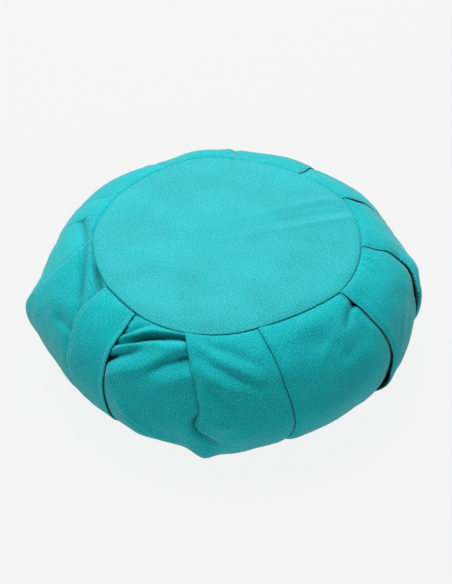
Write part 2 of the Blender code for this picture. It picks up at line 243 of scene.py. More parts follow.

# Creases and rolls, each along a line of (angle, slope):
#   pleat          the fold that the pleat starts at
#   above, below   how wide it is on either side of the line, in mm
#   rise           its height in mm; a crease has a negative rise
#   form           2 is round, 1 is sharp, and 4 has steep sides
#   start, end     its strength at its ends, as a share of the rise
#   lean           how far it leans down the side, in mm
#   dark           how much painted shade darkens the colour at its bottom
Stroke = namedtuple("Stroke", "pleat line above below rise form start end lean dark")
STROKES = (
    # the gathered cloth between the flap and the front fold, from the top down
    Stroke("flap_end", ((230.5, 68), (233.7, 71), (235.1, 76), (237.6, 82), (241.0, 87)),
           2.4, 2.4, -2.4, 2.0, 1.0, 0.2, 0.0, 0.25),
    Stroke("flap_end", ((229.0, 58), (232.9, 61), (234.5, 65), (237.9, 72), (240.5, 77.5),
                        (243.5, 80.5), (246.5, 82.2), (250.2, 83.6), (258.0, 84.5)),
           4.4, 2.6, 3.0, 2.0, 0.5, 1.0, 0.0, 0.0),
    Stroke("flap_end", ((229.0, 55), (232.4, 57.5), (234.6, 62.5), (238.6, 69.5), (242.5, 75.3),
                        (247.3, 79.9), (251.0, 81.8), (260.0, 82.4)),
           2.4, 2.6, -6.4, 3.0, 0.5, 1.0, 0.0, 0.2),
    Stroke("flap_end", ((234.6, 62.3), (238.6, 69.3), (242.5, 75.0), (247.3, 79.6), (251.0, 81.5),
                        (260.0, 82.1)),
           4.6, 4.2, -0.8, 4.0, 0.3, 1.0, 0.0, 1.0),
    Stroke("flap_end", ((229.0, 46), (232.0, 51), (235.7, 58), (240.4, 65), (246.5, 70.5), (259, 75)),
           3.4, 6.5, 3.0, 2.0, 0.8, 0.9, 1.0, 0.0),
    Stroke("flap_end", ((226.0, 32), (231.4, 40), (233.1, 45), (236.6, 52), (240.1, 58.5), (243.5, 63.5)),
           4.0, 4.6, -5.0, 1.9, 1.0, 0.0, -1.0, 0.2),
    Stroke("flap_end", ((227.0, 33), (231.4, 40), (233.6, 45.5), (234.8, 47.5)),
           3.4, 2.8, -2.5, 2.0, 1.0, 0.0, 0.0, 1.0),
    Stroke("flap_end", ((229.0, 20), (234.3, 28), (238.4, 37), (243.0, 44), (246.5, 52), (250.2, 60),
                        (254.0, 66), (261.0, 72)),
           11.0, 4.6, 3.8, 2.0, 0.5, 1.0, 0.5, 0.0),
    Stroke("flap_end", ((262.0, 71), (257.9, 66.3), (255.1, 62.5), (250.6, 55.8),
                        (247.8, 49), (245.0, 41)),
           3.2, 3.6, -3.4, 1.9, 1.0, 0.0, -0.5, 0.15),
    Stroke("flap_end", ((262.0, 71), (257.9, 66.3), (255.5, 63), (252.6, 59)),
           2.6, 2.4, -0.6, 2.0, 1.0, 0.0, 0.0, 0.6),
    Stroke("flap_end", ((247.0, 64), (251.0, 68), (255.0, 71), (261.0, 75)),
           5.0, 5.0, 0.9, 2.0, 0.3, 0.8, 0.0, 0.0),
    Stroke("flap_end", ((262.0, 48), (258.8, 47), (254.2, 42), (249.9, 36), (247.2, 31)),
           8.0, 9.0, 3.2, 2.0, 1.0, 0.0, 0.0, 0.0),
    Stroke("flap_end", ((234.2, 17), (237.2, 8), (241.2, -4), (245.3, -15), (249.8, -24), (255, -30)),
           6.0, 6.0, 3.0, 2.0, 0.0, 0.3, 0.0, 0.0),
    Stroke("flap_end", ((238.5, -10), (242.8, -19), (245.6, -25), (248.2, -31), (251.6, -34), (257, -36)),
           3.4, 3.0, -4.0, 2.0, 0.2, 0.3, 0.0, 0.3),
    # the small openings along the flap's free edge, darkened with painted shade
    Stroke("flap_end", ((228.0, 84), (233.3, 84)), 1.8, 1.8, -2.0, 2.0, 1.0, 0.0, 0.0, 1.0),
    Stroke("flap_end", ((228.0, 73.5), (233.0, 74.5)), 1.8, 1.8, -2.0, 2.0, 1.0, 0.0, 0.0, 0.9),
    Stroke("flap_end", ((228.0, 59), (232.3, 60)), 1.8, 1.8, -2.0, 2.0, 1.0, 0.0, 0.0, 0.9),
    # the pocket and its tail low on the front fold, darkened with painted shade
    Stroke("flap_end", ((261.9, 16), (261.4, 7), (260.9, -1), (261.6, -8), (263.6, -14)),
           6.0, 5.5, -3.4, 2.0, 0.0, 0.5, 0.0, 0.45),
    Stroke("front", ((261.8, 12), (261.4, 5), (260.9, -1), (261.6, -8), (263.6, -14)),
           4.0, 4.0, -2.2, 2.0, 0.0, 0.9, 0.0, 0.2),
    Stroke("flap_end", ((262.4, -9), (264.4, -13), (266.2, -19), (268.0, -24)),
           4.0, 4.5, -2.6, 2.0, 0.9, 0.0, 0.0, 0.3),
    Stroke("front", ((262.4, -9), (264.4, -13), (266.2, -19), (268.0, -24)),
           4.0, 4.5, -2.6, 2.0, 0.9, 0.0, 0.0, 0.3),
    # the wide front pleat
    Stroke("front", ((262.4, 80), (266.2, 75), (271.5, 70.5), (276.4, 63), (280.4, 56)),
           4.5, 4.5, -2.1, 2.0, 0.5, 0.6, 0.0, 0.0),
    Stroke("front", ((260.7, 75), (262.8, 69), (266.4, 62), (271.4, 54.5), (276, 48), (279.2, 42)),
           6.0, 4.5, 3.2, 2.0, 0.6, 0.5, 0.0, 0.0),
    Stroke("front", ((262.4, 68), (266.6, 58.5), (271.3, 52), (275.8, 45), (280, 37)),
           4.0, 4.5, -3.2, 2.0, 0.4, 0.6, 0.0, 0.0),
    Stroke("front", ((262.7, 55), (266.7, 44), (271.2, 38), (275.6, 34)),
           6.0, 5.5, 3.6, 2.0, 0.5, 0.3, 0.0, 0.0),
    Stroke("front", ((264.7, 43), (266.9, 34), (271.2, 23), (275.3, 18)),
           5.5, 6.5, -3.2, 2.0, 0.0, 0.3, 0.0, 0.0),
    Stroke("front", ((264.0, 18), (268.0, 8), (273.0, 1)), 8.0, 8.0, 2.4, 2.0, 0.3, 0.0, 0.0, 0.0),
    Stroke("front", ((262.0, 12), (266.0, -4), (270, -22)), 7.0, 7.0, -1.0, 2.0, 0.8, 0.0, 0.0, 0.0),
    # the pinch at the right front fold, and the hollow below it
    Stroke("front_right", ((328.5, 78), (325.0, 75), (321.4, 71), (317.8, 65), (314, 57)),
           3.2, 3.2, -3.2, 2.0, 1.0, 0.0, 0.0, 0.25),
    Stroke("front_right", ((328.5, 77), (325.0, 74), (321.4, 70)),
           1.6, 1.8, -1.0, 2.0, 1.0, 0.0, 0.0, 0.9),
    Stroke("front_right", ((296, 66), (303, 60), (311, 48)), 9.0, 9.0, -1.6, 2.0, 0.3, 0.0, 0.0, 0.0),
    Stroke("front_right", ((319, 46), (314, 40), (308, 36)), 7.0, 7.0, -1.6, 2.0, 0.6, 0.2, 0.0, 0.0),
    Stroke("front_right", ((288, 72), (300, 74), (312, 76)), 7.0, 7.0, 1.2, 2.0, 0.6, 0.6, 0.0, 0.0),
    Stroke("front_right", ((312, 60), (306, 54), (301, 44)), 5.0, 5.0, 1.2, 2.0, 0.3, 0.2, 0.0, 0.0),
    # two soft upright creases on the right, and the fine puckers beside the seam there
    Stroke("right_front", ((357.7, 46), (348.2, 39), (340.2, 29), (333.6, 5)),
           6.0, 6.0, 1.0, 2.0, 0.2, 0.2, 0.0, 0.0),
    Stroke("right_front", ((350, 89), (350, 82), (350, 72)), 2.0, 2.0, 1.1, 2.0, 0.5, 0.0, 0.0, 0.0),
    Stroke("right_front", ((346, 89), (345, 80), (344, 70)), 2.0, 2.0, 1.1, 2.0, 0.5, 0.0, 0.0, 0.0),
    Stroke("right_front", ((342, 89), (340, 80), (338, 70)), 2.0, 2.0, 0.9, 2.0, 0.5, 0.0, 0.0, 0.0),
    # the dent under the small pleat at the left
    Stroke("left_pinch", ((160.5, 52), (161.8, 64), (166.4, 74), (173.5, 81), (178.6, 84), (183, 85)),
           4.2, 4.6, -4.4, 2.0, 0.0, 1.0, 0.0, 0.35),
    Stroke("left_pinch", ((168, 85), (172.0, 87), (180.0, 88.5)), 4.0, 4.0, 1.6, 2.0, 0.3, 1.0, 0.0, 0.0),
    Stroke("left_pinch", ((156, 62), (158, 72), (163, 80)), 5.0, 5.0, 1.4, 2.0, 0.5, 0.5, 0.0, 0.0),
    # the valley, the roll and the hollow beside the seam at the left; painted shade darkens the valley
    # and the hollow
    Stroke("left", ((177.0, 84), (185.0, 83.5), (191.4, 80.5), (198.0, 75.5), (203.1, 70.5),
                    (207.7, 64), (211, 58)),
           4.2, 6.0, -3.6, 2.0, 1.0, 0.4, 0.0, 0.4),
    Stroke("left", ((186, 88.5), (195.5, 86), (201.0, 83.5), (205.7, 81), (211.5, 73)),
           3.6, 5.0, 2.8, 2.0, 0.9, 0.3, 0.0, 0.0),
    Stroke("left", ((192.0, 90), (198.4, 88.6), (204.0, 86.8), (210.0, 84.5), (213, 83)),
           4.5, 6.0, -5.2, 2.0, 0.35, 1.0, 0.0, 0.7),
    Stroke("left", ((203.0, 31), (208.5, 36), (212.3, 37), (216, 36)),
           5.0, 5.0, -2.2, 2.0, 0.0, 1.0, 0.0, 0.05),
    Stroke("left", ((194, 39), (201, 45), (208, 52), (212, 58)), 8.0, 8.0, 1.4, 2.0, 0.2, 0.4, 0.0, 0.0),
)

# The straight creases in the top panel, as (x, y) in mm from their strong end.
PanelStroke = namedtuple("PanelStroke", "line width rise")
PANEL_STROKES = (
    PanelStroke(((121, 34), (87, 24), (45, 12), (-4, 0)), 4.0, 1.5),
    PanelStroke(((115, 44), (79, 34), (40, 22), (5, 12)), 4.0, -1.2),
    PanelStroke(((103, 61), (60, 47), (18, 30), (-24, 16)), 5.0, 1.4),
    PanelStroke(((110, -14), (66, -3), (10, -10)), 6.0, -0.6),
)

# ---- how finely the cloth is divided ------------------------------------------------------

BAND_ROWS = 166  # between the two seams
ROWS_TURN = 30.0  # the slope where their density changes, in degrees
ROWS_UPPER = 1.45  # their relative density above it
ROWS_LOWER = 0.68  # and below it
ROWS_BESIDE_SEAM = 1.1  # how much denser they are beside the top seam, over so many degrees
ROWS_SEAM_SPAN = 4.0
FINE_STEPS = (0.0, 0.7, 1.6, 2.9, 4.6)  # mm from a fold line
TUCK_STEPS = (0.0, 0.3, 0.65, 1.0)  # shares of the tuck
EDGE_TURNS = (180, 144, 108, 72, 36)  # degrees round a fold's edge
FRONT_FROM = 185  # a pleat whose middle lies past this angle is at the front
FRONT_STEP = 2.4  # mm between the columns of a pleat at the front
BACK_STEP = 3.9  # and of one at the back
BED_SHARES = (0.4, 0.8, 0.92, 0.96, 0.98, 0.99, 0.996)  # of the seam, rings under the panel
PANEL_COLUMNS = 300
PANEL_STEPS = (0.0, 0.35, 0.8, 1.4, 2.2, 3.2, 4.4, 5.8, 7.4, 9.2)  # mm in from its edge
PANEL_SHARES = np.linspace(0.91, 0.03, 34)  # and then shares of its radius
UNDERSIDE_COLUMNS = 180
UNDERSIDE_SHARES = np.linspace(0.04, 0.985, 14)
FLAP_COLUMNS = 26
FLAP_STEPS = (0.0, 0.5, 1.1, 1.9, 2.8, 3.8)  # mm in from its edges
FLAP_TURNS = (45, 90, 135)  # degrees round its edges

# ---- how the cloth bends, in mm -----------------------------------------------------------

SHOULDER = 2.6  # over which a fold's edge rounds down
RUN_IN = 2.6  # over which the cloth below dips towards a fold line
FLARE = 13.0  # over which the cloth on top comes down from a fold line
GROOVE_WIDTH = 1.2  # of the groove at the top seam
PUFF_FROM = 1.8  # where the band stands up beside that seam
PUFF_TO = 16.0
SEWN_WIDTH = 2.2  # beside the top seam, where creases fade out
BESIDE_DIP = 3.0  # over which the band rises again beside the flap's free edge
UNDER_DIP = 4.0  # and over which it dips towards that edge under the flap
FLAP_EDGE_SHADE = 2.2  # how far the painted shade beside that edge reaches
FOLD_SHADE = 1.5  # how far one before a fold line does, and half the fold's gap more
SEAM_LINE = 0.8  # how far one below the top seam does
ROUGH_FROM = 5.0  # over which the cloth's unevenness sets in below the top seam
HEM_INSET = 0.5  # from the fold lines to the flap's edges
HEM_EDGE = 1.4  # the flap hem's edge, which a painted highlight makes paler
STITCH_LINE = 3.2  # from the flap's edge to the hem's stitching, and how wide that shows
STITCH_WIDTH = 0.7
FLAP_NIP = 0.0018  # metres that the band dips in at the flap's free edge
LEAST_GAP = 0.00025  # metres kept between a fold and the cloth that runs in under it
STITCH_DEPTH = 0.0003  # metres
TURNED_EDGE = 0.0003  # metres, the top panel's thickness at its seam
PANEL_LIFT = 0.0004  # metres that the top panel's edge stands above the seam
UNDERSIDE_SHARE = 0.97  # of the low seam's radius, where the band ends round the bottom panel
STROKE_CORE = 0.7  # how much of a crease's width its painted shade covers
SEAM_SHADE = 0.3  # how dark the painted shade along the top seam is
BACK_ANGLE = 94.0  # where the top seam pulls in least, and how far round, in degrees
BACK_SPAN = 72.0
FRONT_ANGLE = 262.0  # where the top panel rounds down most, and how far round
FRONT_SPAN = 34.0

# How the surfaces wander: a wavelength in metres, a random seed and a height in mm.
BAND_WAVES = ((0.075, 11, 0.55), (0.032, 12, 0.28), (0.014, 13, 0.07))
PANEL_WAVES = ((0.060, 31, 0.35), (0.022, 32, 0.10))
# The gathers along the top seam: how many waves are laid over each other, the least and the
# most ridges that one has all round, the height of each in mm and how far down it reaches.
GATHER_SEED = 21
GATHER_WAVES = 14
GATHER_RIDGES = (50, 130)
GATHER_HEIGHT = 0.09
GATHER_REACH = 6.0

# ---- the run of the cloth solver ----------------------------------------------------------

SETTLE_COLUMNS = 9  # for each pleat
SETTLE_ROWS = slice(0, None, 5)  # of the band's rows
SETTLE_FRAMES = 20
SETTLE_PRESSURE = 150.0  # in the solver's units, picked for the size of its effect
SETTLE_STIFFNESS = 5.0  # the same
SETTLE_FOLD_HOLD = 0.8  # how firmly the fold lines are held, from 0 to 1
SETTLE_CAP = 0.0018  # metres that a point may move
SETTLED = {}  # the result, kept for the flap

# ---- the look of the cloth and the studio -------------------------------------------------

BAND_RUN = (0.89, -0.456)  # across the wales of the twill, on the band
PANEL_RUN = (0.707, -0.707)  # and on the panels
FULL_TURN = 6.2832
SHADE_DEPTH = 0.93  # how much of the colour full shade takes away
WHITE = (1.0, 1.0, 1.0, 1.0)
FLOOR_BOUNCE = 0.48  # how brightly the floor lights the cushion from below
FLOOR_HALF = 4.0  # metres from the middle to the floor's edges
FLOOR_DROP = 0.0002  # metres that the floor lies below the cushion
ROOM_SHOWN = 0.9  # how bright the room looks to the camera
AIM_HEIGHT = 0.06  # metres, where the lights point
LOOK_HEIGHT = 0.062  # metres, where the camera points


def settings(context):
    """The scene's sizes, cloth and studio."""
    return context.scene.zafu_sizes, context.scene.zafu_cloth, context.scene.zafu_studio


# ---- curves and fields -------------------------------------------------------------------


def smooth_run(places, values, at):
    """A smooth run through values at rising places, which never overshoots them."""
    x, y = np.asarray(places, float), np.asarray(values, float)
    step = np.diff(x)
    rate = np.diff(y) / step
    tangent = np.concatenate(([rate[0]], np.zeros(len(x) - 2), [rate[-1]]))
    for n in range(1, len(x) - 1):
        if rate[n - 1] * rate[n] > 0:
            before, after = 2 * step[n] + step[n - 1], step[n] + 2 * step[n - 1]
            tangent[n] = (before + after) / (before / rate[n - 1] + after / rate[n])
    at = np.clip(at, x[0], x[-1])
    n = np.clip(np.searchsorted(x, at, side="right") - 1, 0, len(step) - 1)
    h = step[n]
    t = (at - x[n]) / h
    start = (1 + 2 * t) * (1 - t) ** 2 * y[n] + t * (1 - t) ** 2 * h * tangent[n]
    return start + t * t * (3 - 2 * t) * y[n + 1] + t * t * (t - 1) * h * tangent[n + 1]


def through(start, middle, end, share):
    """The smooth run through three values, at shares of 0, 1/2 and 1."""
    first = start * (1 - share) * (1 - 2 * share)
    last = end * share * (2 * share - 1)
    return first + middle * 4 * share * (1 - share) + last


def soft_step(value, low, high):
    """A smooth rise from 0 at low to 1 at high."""
    t = np.clip((value - low) / (high - low), 0.0, 1.0)
    return t * t * (3 - 2 * t)


def unevenness(points, wavelength, seed, waves=40):
    """A smooth random field of about unit height over points in metres."""
    rng = np.random.default_rng(seed)
    ways = rng.normal(size=(waves, 3))
    ways /= np.linalg.norm(ways, axis=1)[:, None]
    rates = 2 * np.pi / (wavelength * rng.uniform(0.7, 1.5, waves))
    starts = rng.uniform(0, 2 * np.pi, waves)
    field = np.zeros(points.shape[:-1])
    for way, rate, start in zip(ways, rates, starts):
        field += np.sin(points @ (way * rate) + start)
    return field * np.sqrt(2.0 / waves)


def line_distance(points, line):
    """How far each point is from a line through 3-D places, how far along it, 0 to 1, and
    whether it is higher than the line there."""
    line = np.asarray(line, float)
    lengths = np.linalg.norm(np.diff(line, axis=0), axis=1)
    ends = np.concatenate(([0.0], np.cumsum(lengths)))
    nearest = np.full(points.shape[:-1], np.inf)
    along = np.zeros(points.shape[:-1])
    higher = np.zeros(points.shape[:-1], bool)
    for n, (a, b) in enumerate(zip(line, line[1:])):
        run = b - a
        t = np.clip((points - a) @ run / (run @ run), 0.0, 1.0)
        apart = points - (a + t[..., None] * run)
        distance = np.linalg.norm(apart, axis=-1)
        closer = distance < nearest
        nearest = np.where(closer, distance, nearest)
        along = np.where(closer, (ends[n] + t * lengths[n]) / ends[-1], along)
        higher = np.where(closer, apart[..., 2] > 0, higher)
    return nearest, along, higher


def taper(along, start, end):
    """A stroke's strength along it: start, then full over its middle third, then end."""
    return smooth_run((0.0, 0.35, 0.65, 1.0), (start, 1.0, 1.0, end), along)


def finer_line(line, step=1.5):
    """The same line with more places on it, so that it bends smoothly."""
    line = np.asarray(line, float)
    run = np.concatenate(([0.0], np.cumsum(np.linalg.norm(np.diff(line, axis=0), axis=1))))
    at = np.linspace(0.0, run[-1], max(3, int(run[-1] / step)))
    return np.stack([smooth_run(run, line[:, n], at) for n in range(line.shape[1])], axis=1)


def bell(distance, width, form=2):
    """1 at no distance, falling off smoothly over a width."""
    return np.exp(-((distance / width) ** form))


def angle_apart(angle, middle):
    """How far round an angle is from another, from -180 to 180 degrees."""
    return (angle - middle + 180) % 360 - 180


def ring_points(reach, turn, height):
    """Points round the middle at a reach, at angles in radians, at a height."""
    height = np.broadcast_to(height, np.shape(turn))
    return np.stack([reach * np.cos(turn), reach * np.sin(turn), height], axis=-1)


# ---- the band's surface ------------------------------------------------------------------


class Section:
    """The band's section and everything that lies on it, from the user's sizes."""

    def __init__(self, sizes):
        self.sizes = sizes
        self.slopes = self.row_slopes()
        self.level = np.maximum(np.cos(np.radians(self.slopes)), 0.0)
        self.rise = np.sin(np.radians(self.slopes))
        self.fade = np.where(self.slopes > 0, self.level**0.5, self.level**0.8)
        seam = np.where(self.slopes > 0, sizes.top_seam_radius, sizes.low_seam_radius)
        self.reach = seam + (sizes.band_radius - seam) * self.level
        path = np.stack([self.reach, sizes.seam_height / 2 * (1 + self.rise)], axis=1)
        steps = np.linalg.norm(np.diff(path, axis=0), axis=1)
        self.down = np.concatenate(([0.0], np.cumsum(steps)))  # metres from the top seam
        coarse = np.arange(BAND_ROWS)[SETTLE_ROWS]
        self.settle_row = np.interp(np.arange(BAND_ROWS), coarse, np.arange(len(coarse)))
        self.settled = None

    def row_slopes(self):
        """Each row's slope: closer together above, and closest beside the top seam."""
        fine = np.linspace(90.0, -90.0, 3001)
        density = ROWS_LOWER + (ROWS_UPPER - ROWS_LOWER) * soft_step(fine, ROWS_TURN - 18, ROWS_TURN + 12)
        density = density + ROWS_BESIDE_SEAM * bell(90 - fine, ROWS_SEAM_SPAN)
        total = np.concatenate(([0.0], np.cumsum((density[1:] + density[:-1]) / 2)))
        return np.interp(np.linspace(0, total[-1], BAND_ROWS), total, fine)

    def fold_angles(self, name):
        """Where a fold line lies on each row, in degrees."""
        line = FOLD_LINES[name][::-1]
        return smooth_run([place[1] for place in line], [place[0] for place in line], self.slopes)

    def lip(self, name):
        """A fold's thickness, gap and nip on each row, in metres, and its darkness."""
        row = next((lip for lip in LIPS if lip.name == name), LIPS[0])
        at = LIP_SLOPES[::-1]
        thick = smooth_run(at, row.thick[::-1], self.slopes)
        gap = smooth_run(at, row.gap[::-1], self.slopes)
        nip = smooth_run(at, row.nip[::-1], self.slopes)
        dark = smooth_run(at, row.dark[::-1], self.slopes)
        return thick / 1000, gap / 1000, nip / 1000, dark

    def tuck_width(self, fold):
        """How far a fold's cloth runs in under its line on each row, in mm."""
        return fold.tuck * (0.45 + 0.55 * self.level**0.5)

    def lumps(self, angle):
        """How far the lumps push the cloth out, in metres."""
        out = np.zeros(angle.shape)
        for lump in LUMPS:
            along = angle_apart(angle, lump.angle) / lump.wide
            across = (self.slopes - lump.slope) / lump.high
            out += lump.out / 1000 * np.exp(-(along**2) - across**2)
        return out

    def place(self, angle, out, seam, lean=0.0):
        """Points at angles (columns by rows), a distance out from the mean section. seam is
        how far the top seam is from its mean radius there, and lean moves a point down the
        side."""
        sizes = self.sizes
        above = np.where(self.slopes > 0, seam * (1 - self.level), 0.0)
        reach = self.reach + above + out * self.level + lean * self.rise
        height = sizes.seam_height / 2 * (1 + self.rise) + out * self.rise - lean * self.level
        near_seam = self.down * 1000
        pulled = seam_pull(angle)
        height = height - sizes.groove * pulled * bell(near_seam, GROOVE_WIDTH)
        puff = (1 - bell(near_seam, PUFF_FROM)) * bell(near_seam, PUFF_TO)
        height = height + sizes.seam_puff * pulled * puff
        return ring_points(reach, np.radians(angle), settle_on_floor(height))

    def spot(self, angle, slope):
        """A point of the mean section at one angle and slope."""
        level, rise = max(np.cos(np.radians(slope)), 0.0), np.sin(np.radians(slope))
        sizes = self.sizes
        seam = sizes.top_seam_radius if slope > 0 else sizes.low_seam_radius
        reach = seam + (sizes.band_radius - seam) * level
        return ring_points(reach, np.radians(angle), sizes.seam_height / 2 * (1 + rise))

    def strokes(self, pleat, angle):
        """What a pleat's creases and rolls add, as (out, lean) in metres, and their painted shade."""
        points = self.place(angle, np.zeros(angle.shape), np.zeros(angle.shape))
        out, lean, painted_shade = (np.zeros(angle.shape) for _ in range(3))
        sewn = 1 - bell(self.down * 1000, SEWN_WIDTH)
        for stroke in STROKES:
            if stroke.pleat != pleat:
                continue
            line = [self.spot(*place) for place in finer_line(stroke.line)]
            away, along, higher = line_distance(points, line)
            share = away * 1000 / np.where(higher, stroke.above, stroke.below)
            strength = taper(along, stroke.start, stroke.end)
            shape = strength * np.exp(-(share**stroke.form)) * sewn
            out += shape * stroke.rise / 1000
            lean += shape * stroke.lean / 1000
            # painted shade darkens the colour along the crease's bottom
            painted_shade = np.maximum(painted_shade, stroke.dark * strength * bell(share, STROKE_CORE))
        return out, lean, painted_shade


def seam_pull(angle):
    """How hard the top seam pulls in: least at the back, where both cloths lie flat."""
    return 1 - 0.97 * bell(angle_apart(angle, BACK_ANGLE), BACK_SPAN, 4)


def settle_on_floor(height, soft=0.003):
    """Heights near the floor, pressed together so that none goes through it."""
    low = soft * np.exp(np.minimum(height - soft, 0.0) / soft)
    return np.where(height > soft, height, low)


class Pleat:
    """One pleat's columns: its turned edge, its face, and the cloth under the next fold."""

    def __init__(self, section, number):
        fold, after = FOLDS[number], FOLDS[(number + 1) % len(FOLDS)]
        self.fold, self.after, self.section, self.number = fold, after, section, number
        wrap = 360.0 if number == len(FOLDS) - 1 else 0.0
        self.start = section.fold_angles(fold.name)
        self.width = section.fold_angles(after.name) + wrap - self.start
        reach = section.reach * 1000
        self.per_mm = 1 / np.radians(1.0) / reach  # degrees for each mm on each row
        self.across = self.width / self.per_mm  # the pleat's width in mm on each row

    def run(self, offset, strokes=True):
        """The face at offsets in mm from the fold line, one set for each column: the angle,
        how far out it is, its lean, the seam's departure and its painted shade, on each row."""
        section, fold, after = self.section, self.fold, self.after
        share = np.clip(offset / self.across, 0.0, 1.0)
        thick, gap, nip, _ = section.lip(fold.name)
        base = through(fold.edge, fold.face, after.under, share) / 1000 * section.fade
        level = fold.under / 1000 * section.fade + thick + gap
        flare = (level - fold.edge / 1000 * section.fade) * bell(offset, FLARE)
        drawn = nip * bell(offset, SHOULDER, 1.4)
        painted_shade = np.zeros(np.broadcast_shapes(offset.shape, section.slopes.shape))
        if fold.tuck == 0:
            flare, drawn = 0.0, 0.0
        if fold.name == "flap_end":
            drawn = FLAP_NIP * bell(offset, BESIDE_DIP, 1)
            # painted shade beside the flap's free edge
            painted_shade = 0.6 * bell(offset, FLAP_EDGE_SHADE) * (section.level > 0.05)
        before_end = np.maximum(self.across - offset, 0.0)
        if after.tuck > 0:
            _, next_gap, next_nip, dark = section.lip(after.name)
            drawn = drawn + next_nip * bell(before_end, RUN_IN, 1)
            # painted shade on the cloth that runs in under the next fold
            painted_shade = dark * bell(before_end, FOLD_SHADE + next_gap * 1000 / 2)
        base = base - drawn
        seam = through(fold.seam, fold.seam_face, after.seam, share) / 1000
        angle = self.start + offset * self.per_mm
        out = base + flare + section.lumps(angle) * section.fade
        if section.settled is not None:
            out = out + settled_out(section, self.number, share)
        lean = np.zeros(out.shape)
        if strokes:
            more, lean, darker = section.strokes(fold.name, angle)
            out = out + more
            painted_shade = np.maximum(painted_shade, darker)
        return angle, out, lean, seam, painted_shade


def rough_cloth(section, points):
    """How the cloth's surface wanders, in metres: broad, then fine, none at the top seam."""
    wander = sum(unevenness(points, length, seed) * height for length, seed, height in BAND_WAVES)
    return wander / 1000 * (1 - bell(section.down * 1000, ROUGH_FROM, 1))


def seam_gathers(section, angle):
    """Small gathers where the band is sewn to the top panel, in metres."""
    rng = np.random.default_rng(GATHER_SEED)
    field = np.zeros(angle.shape)
    for count in rng.integers(*GATHER_RIDGES, GATHER_WAVES):
        field += np.sin(np.radians(angle) * count + rng.uniform(0, 2 * np.pi))
    depth = section.down * 1000
    field = field * GATHER_HEIGHT / 1000
    return field * bell(depth, GATHER_REACH, 1) * soft_step(depth, 0.0, 1.5)


def column_plan(width_mid, step):
    """How many columns a pleat's face has between its fine ends."""
    return max(4, int(round((width_mid - 2 * FINE_STEPS[-1]) / step)))


def band_grid(section):
    """The whole band as (columns, rows, 3) points, with the cloth's map, its painted edge
    highlight, its painted shade and each point's angle."""
    pleats = [Pleat(section, number) for number in range(len(FOLDS))]
    columns_made = []

    def add(angle, out, lean, seam, wear, painted_shade, u):
        row = (angle, out, lean, seam, wear, painted_shade, u / 1000)
        columns_made.append([np.broadcast_to(value, section.slopes.shape) for value in row])

    for number, pleat in enumerate(pleats):
        fold, after = pleat.fold, pleat.after
        next_pleat = pleats[(number + 1) % len(pleats)]
        centre = pleat.across / 2
        if fold.tuck > 0:
            thick, gap, _, dark = section.lip(fold.name)
            offsets = np.outer(TUCK_STEPS[::-1], section.tuck_width(fold))
            angle, out, lean, seam, _ = pleat.run(offsets)
            for n in range(len(TUCK_STEPS) - 1):
                # the tucked cloth under the fold is darkened with the fold's painted shade
                add(angle[n], out[n] - thick, lean[n], seam[n], 0.0, dark, offsets[n] - centre)
            top_out, top_lean, top_seam = out[-1], lean[-1], seam[-1]
            for turn in EDGE_TURNS:
                c, s = np.cos(np.radians(turn)), np.sin(np.radians(turn))
                offset = -thick * 1000 / 2 * s
                level = top_out - thick / 2 * (1 - c)
                # a painted highlight along the fold's edge, and painted shade where it turns under
                wear = fold.wear * (0.5 + 0.5 * c if turn > 90 else 1.0)
                add(pleat.start + offset * pleat.per_mm, level, top_lean, top_seam, wear,
                    dark * soft_step(turn, 50, 150), offset - centre)
        middle = np.median(pleat.across[(section.slopes < 45) & (section.slopes > -45)])
        facing = (pleat.start.mean() + pleat.width.mean() / 2) % 360 > FRONT_FROM
        count = column_plan(middle, FRONT_STEP if facing else BACK_STEP)
        fine = FINE_STEPS[-1]
        columns = [np.full(len(section.slopes), step) for step in FINE_STEPS]
        for n in range(1, count):
            columns.append(fine + (pleat.across - 2 * fine) * n / count)
        columns += [pleat.across - step for step in FINE_STEPS[:0:-1]]
        tail_from = len(columns)
        if after.tuck > 0:
            tuck = section.tuck_width(after)
            columns += [pleat.across + share * tuck for share in TUCK_STEPS]
        offsets = np.array(columns)
        angle, out, lean, seam, painted_shade = pleat.run(offsets)
        if fold.name == "flap_start":
            out = under_flap(section, creases_run_on(section, out, angle), offsets, pleat)
            # painted shade on the band under the flap
            painted_shade = painted_shade + soft_step(pleat.across - offsets, 8.0, 0.0)
        if fold.name == "flap_end":
            clear = soft_step(offsets, -1.0, 5.0)
            plain = pleat.run(offsets, strokes=False)[1]
            out = plain + np.where(out > plain, (out - plain) * clear, out - plain)
        if after.tuck > 0:
            over_out = next_pleat.run(np.outer(TUCK_STEPS, tuck))[1]
            thick, gap, _, _ = section.lip(after.name)
            least = np.minimum(gap, LEAST_GAP)
            out[tail_from:] = np.minimum(out[tail_from:], over_out - thick - least)
        for n, offset in enumerate(offsets):
            # a painted highlight along the fold's edge
            wear = fold.wear * (1.0 - soft_step(offset, 0.0, 1.4))
            add(angle[n], out[n], lean[n], seam[n], wear, painted_shade[n], offset - centre)
    angle, out, lean, seam, wear, painted_shade, u = np.array(columns_made).transpose(1, 0, 2)
    plain = section.place(angle, out, seam)
    out = out + rough_cloth(section, plain) + seam_gathers(section, angle)
    points = section.place(angle, out, seam, lean)
    # painted shade along the top seam
    sewn = seam_pull(angle) * bell(section.down * 1000, SEAM_LINE)
    painted_shade = np.maximum(painted_shade, SEAM_SHADE * sewn)
    v = np.broadcast_to(section.down, u.shape)
    return points, np.stack([u, v], axis=-1), wear, painted_shade, angle


# ---- how the filling settles --------------------------------------------------------------


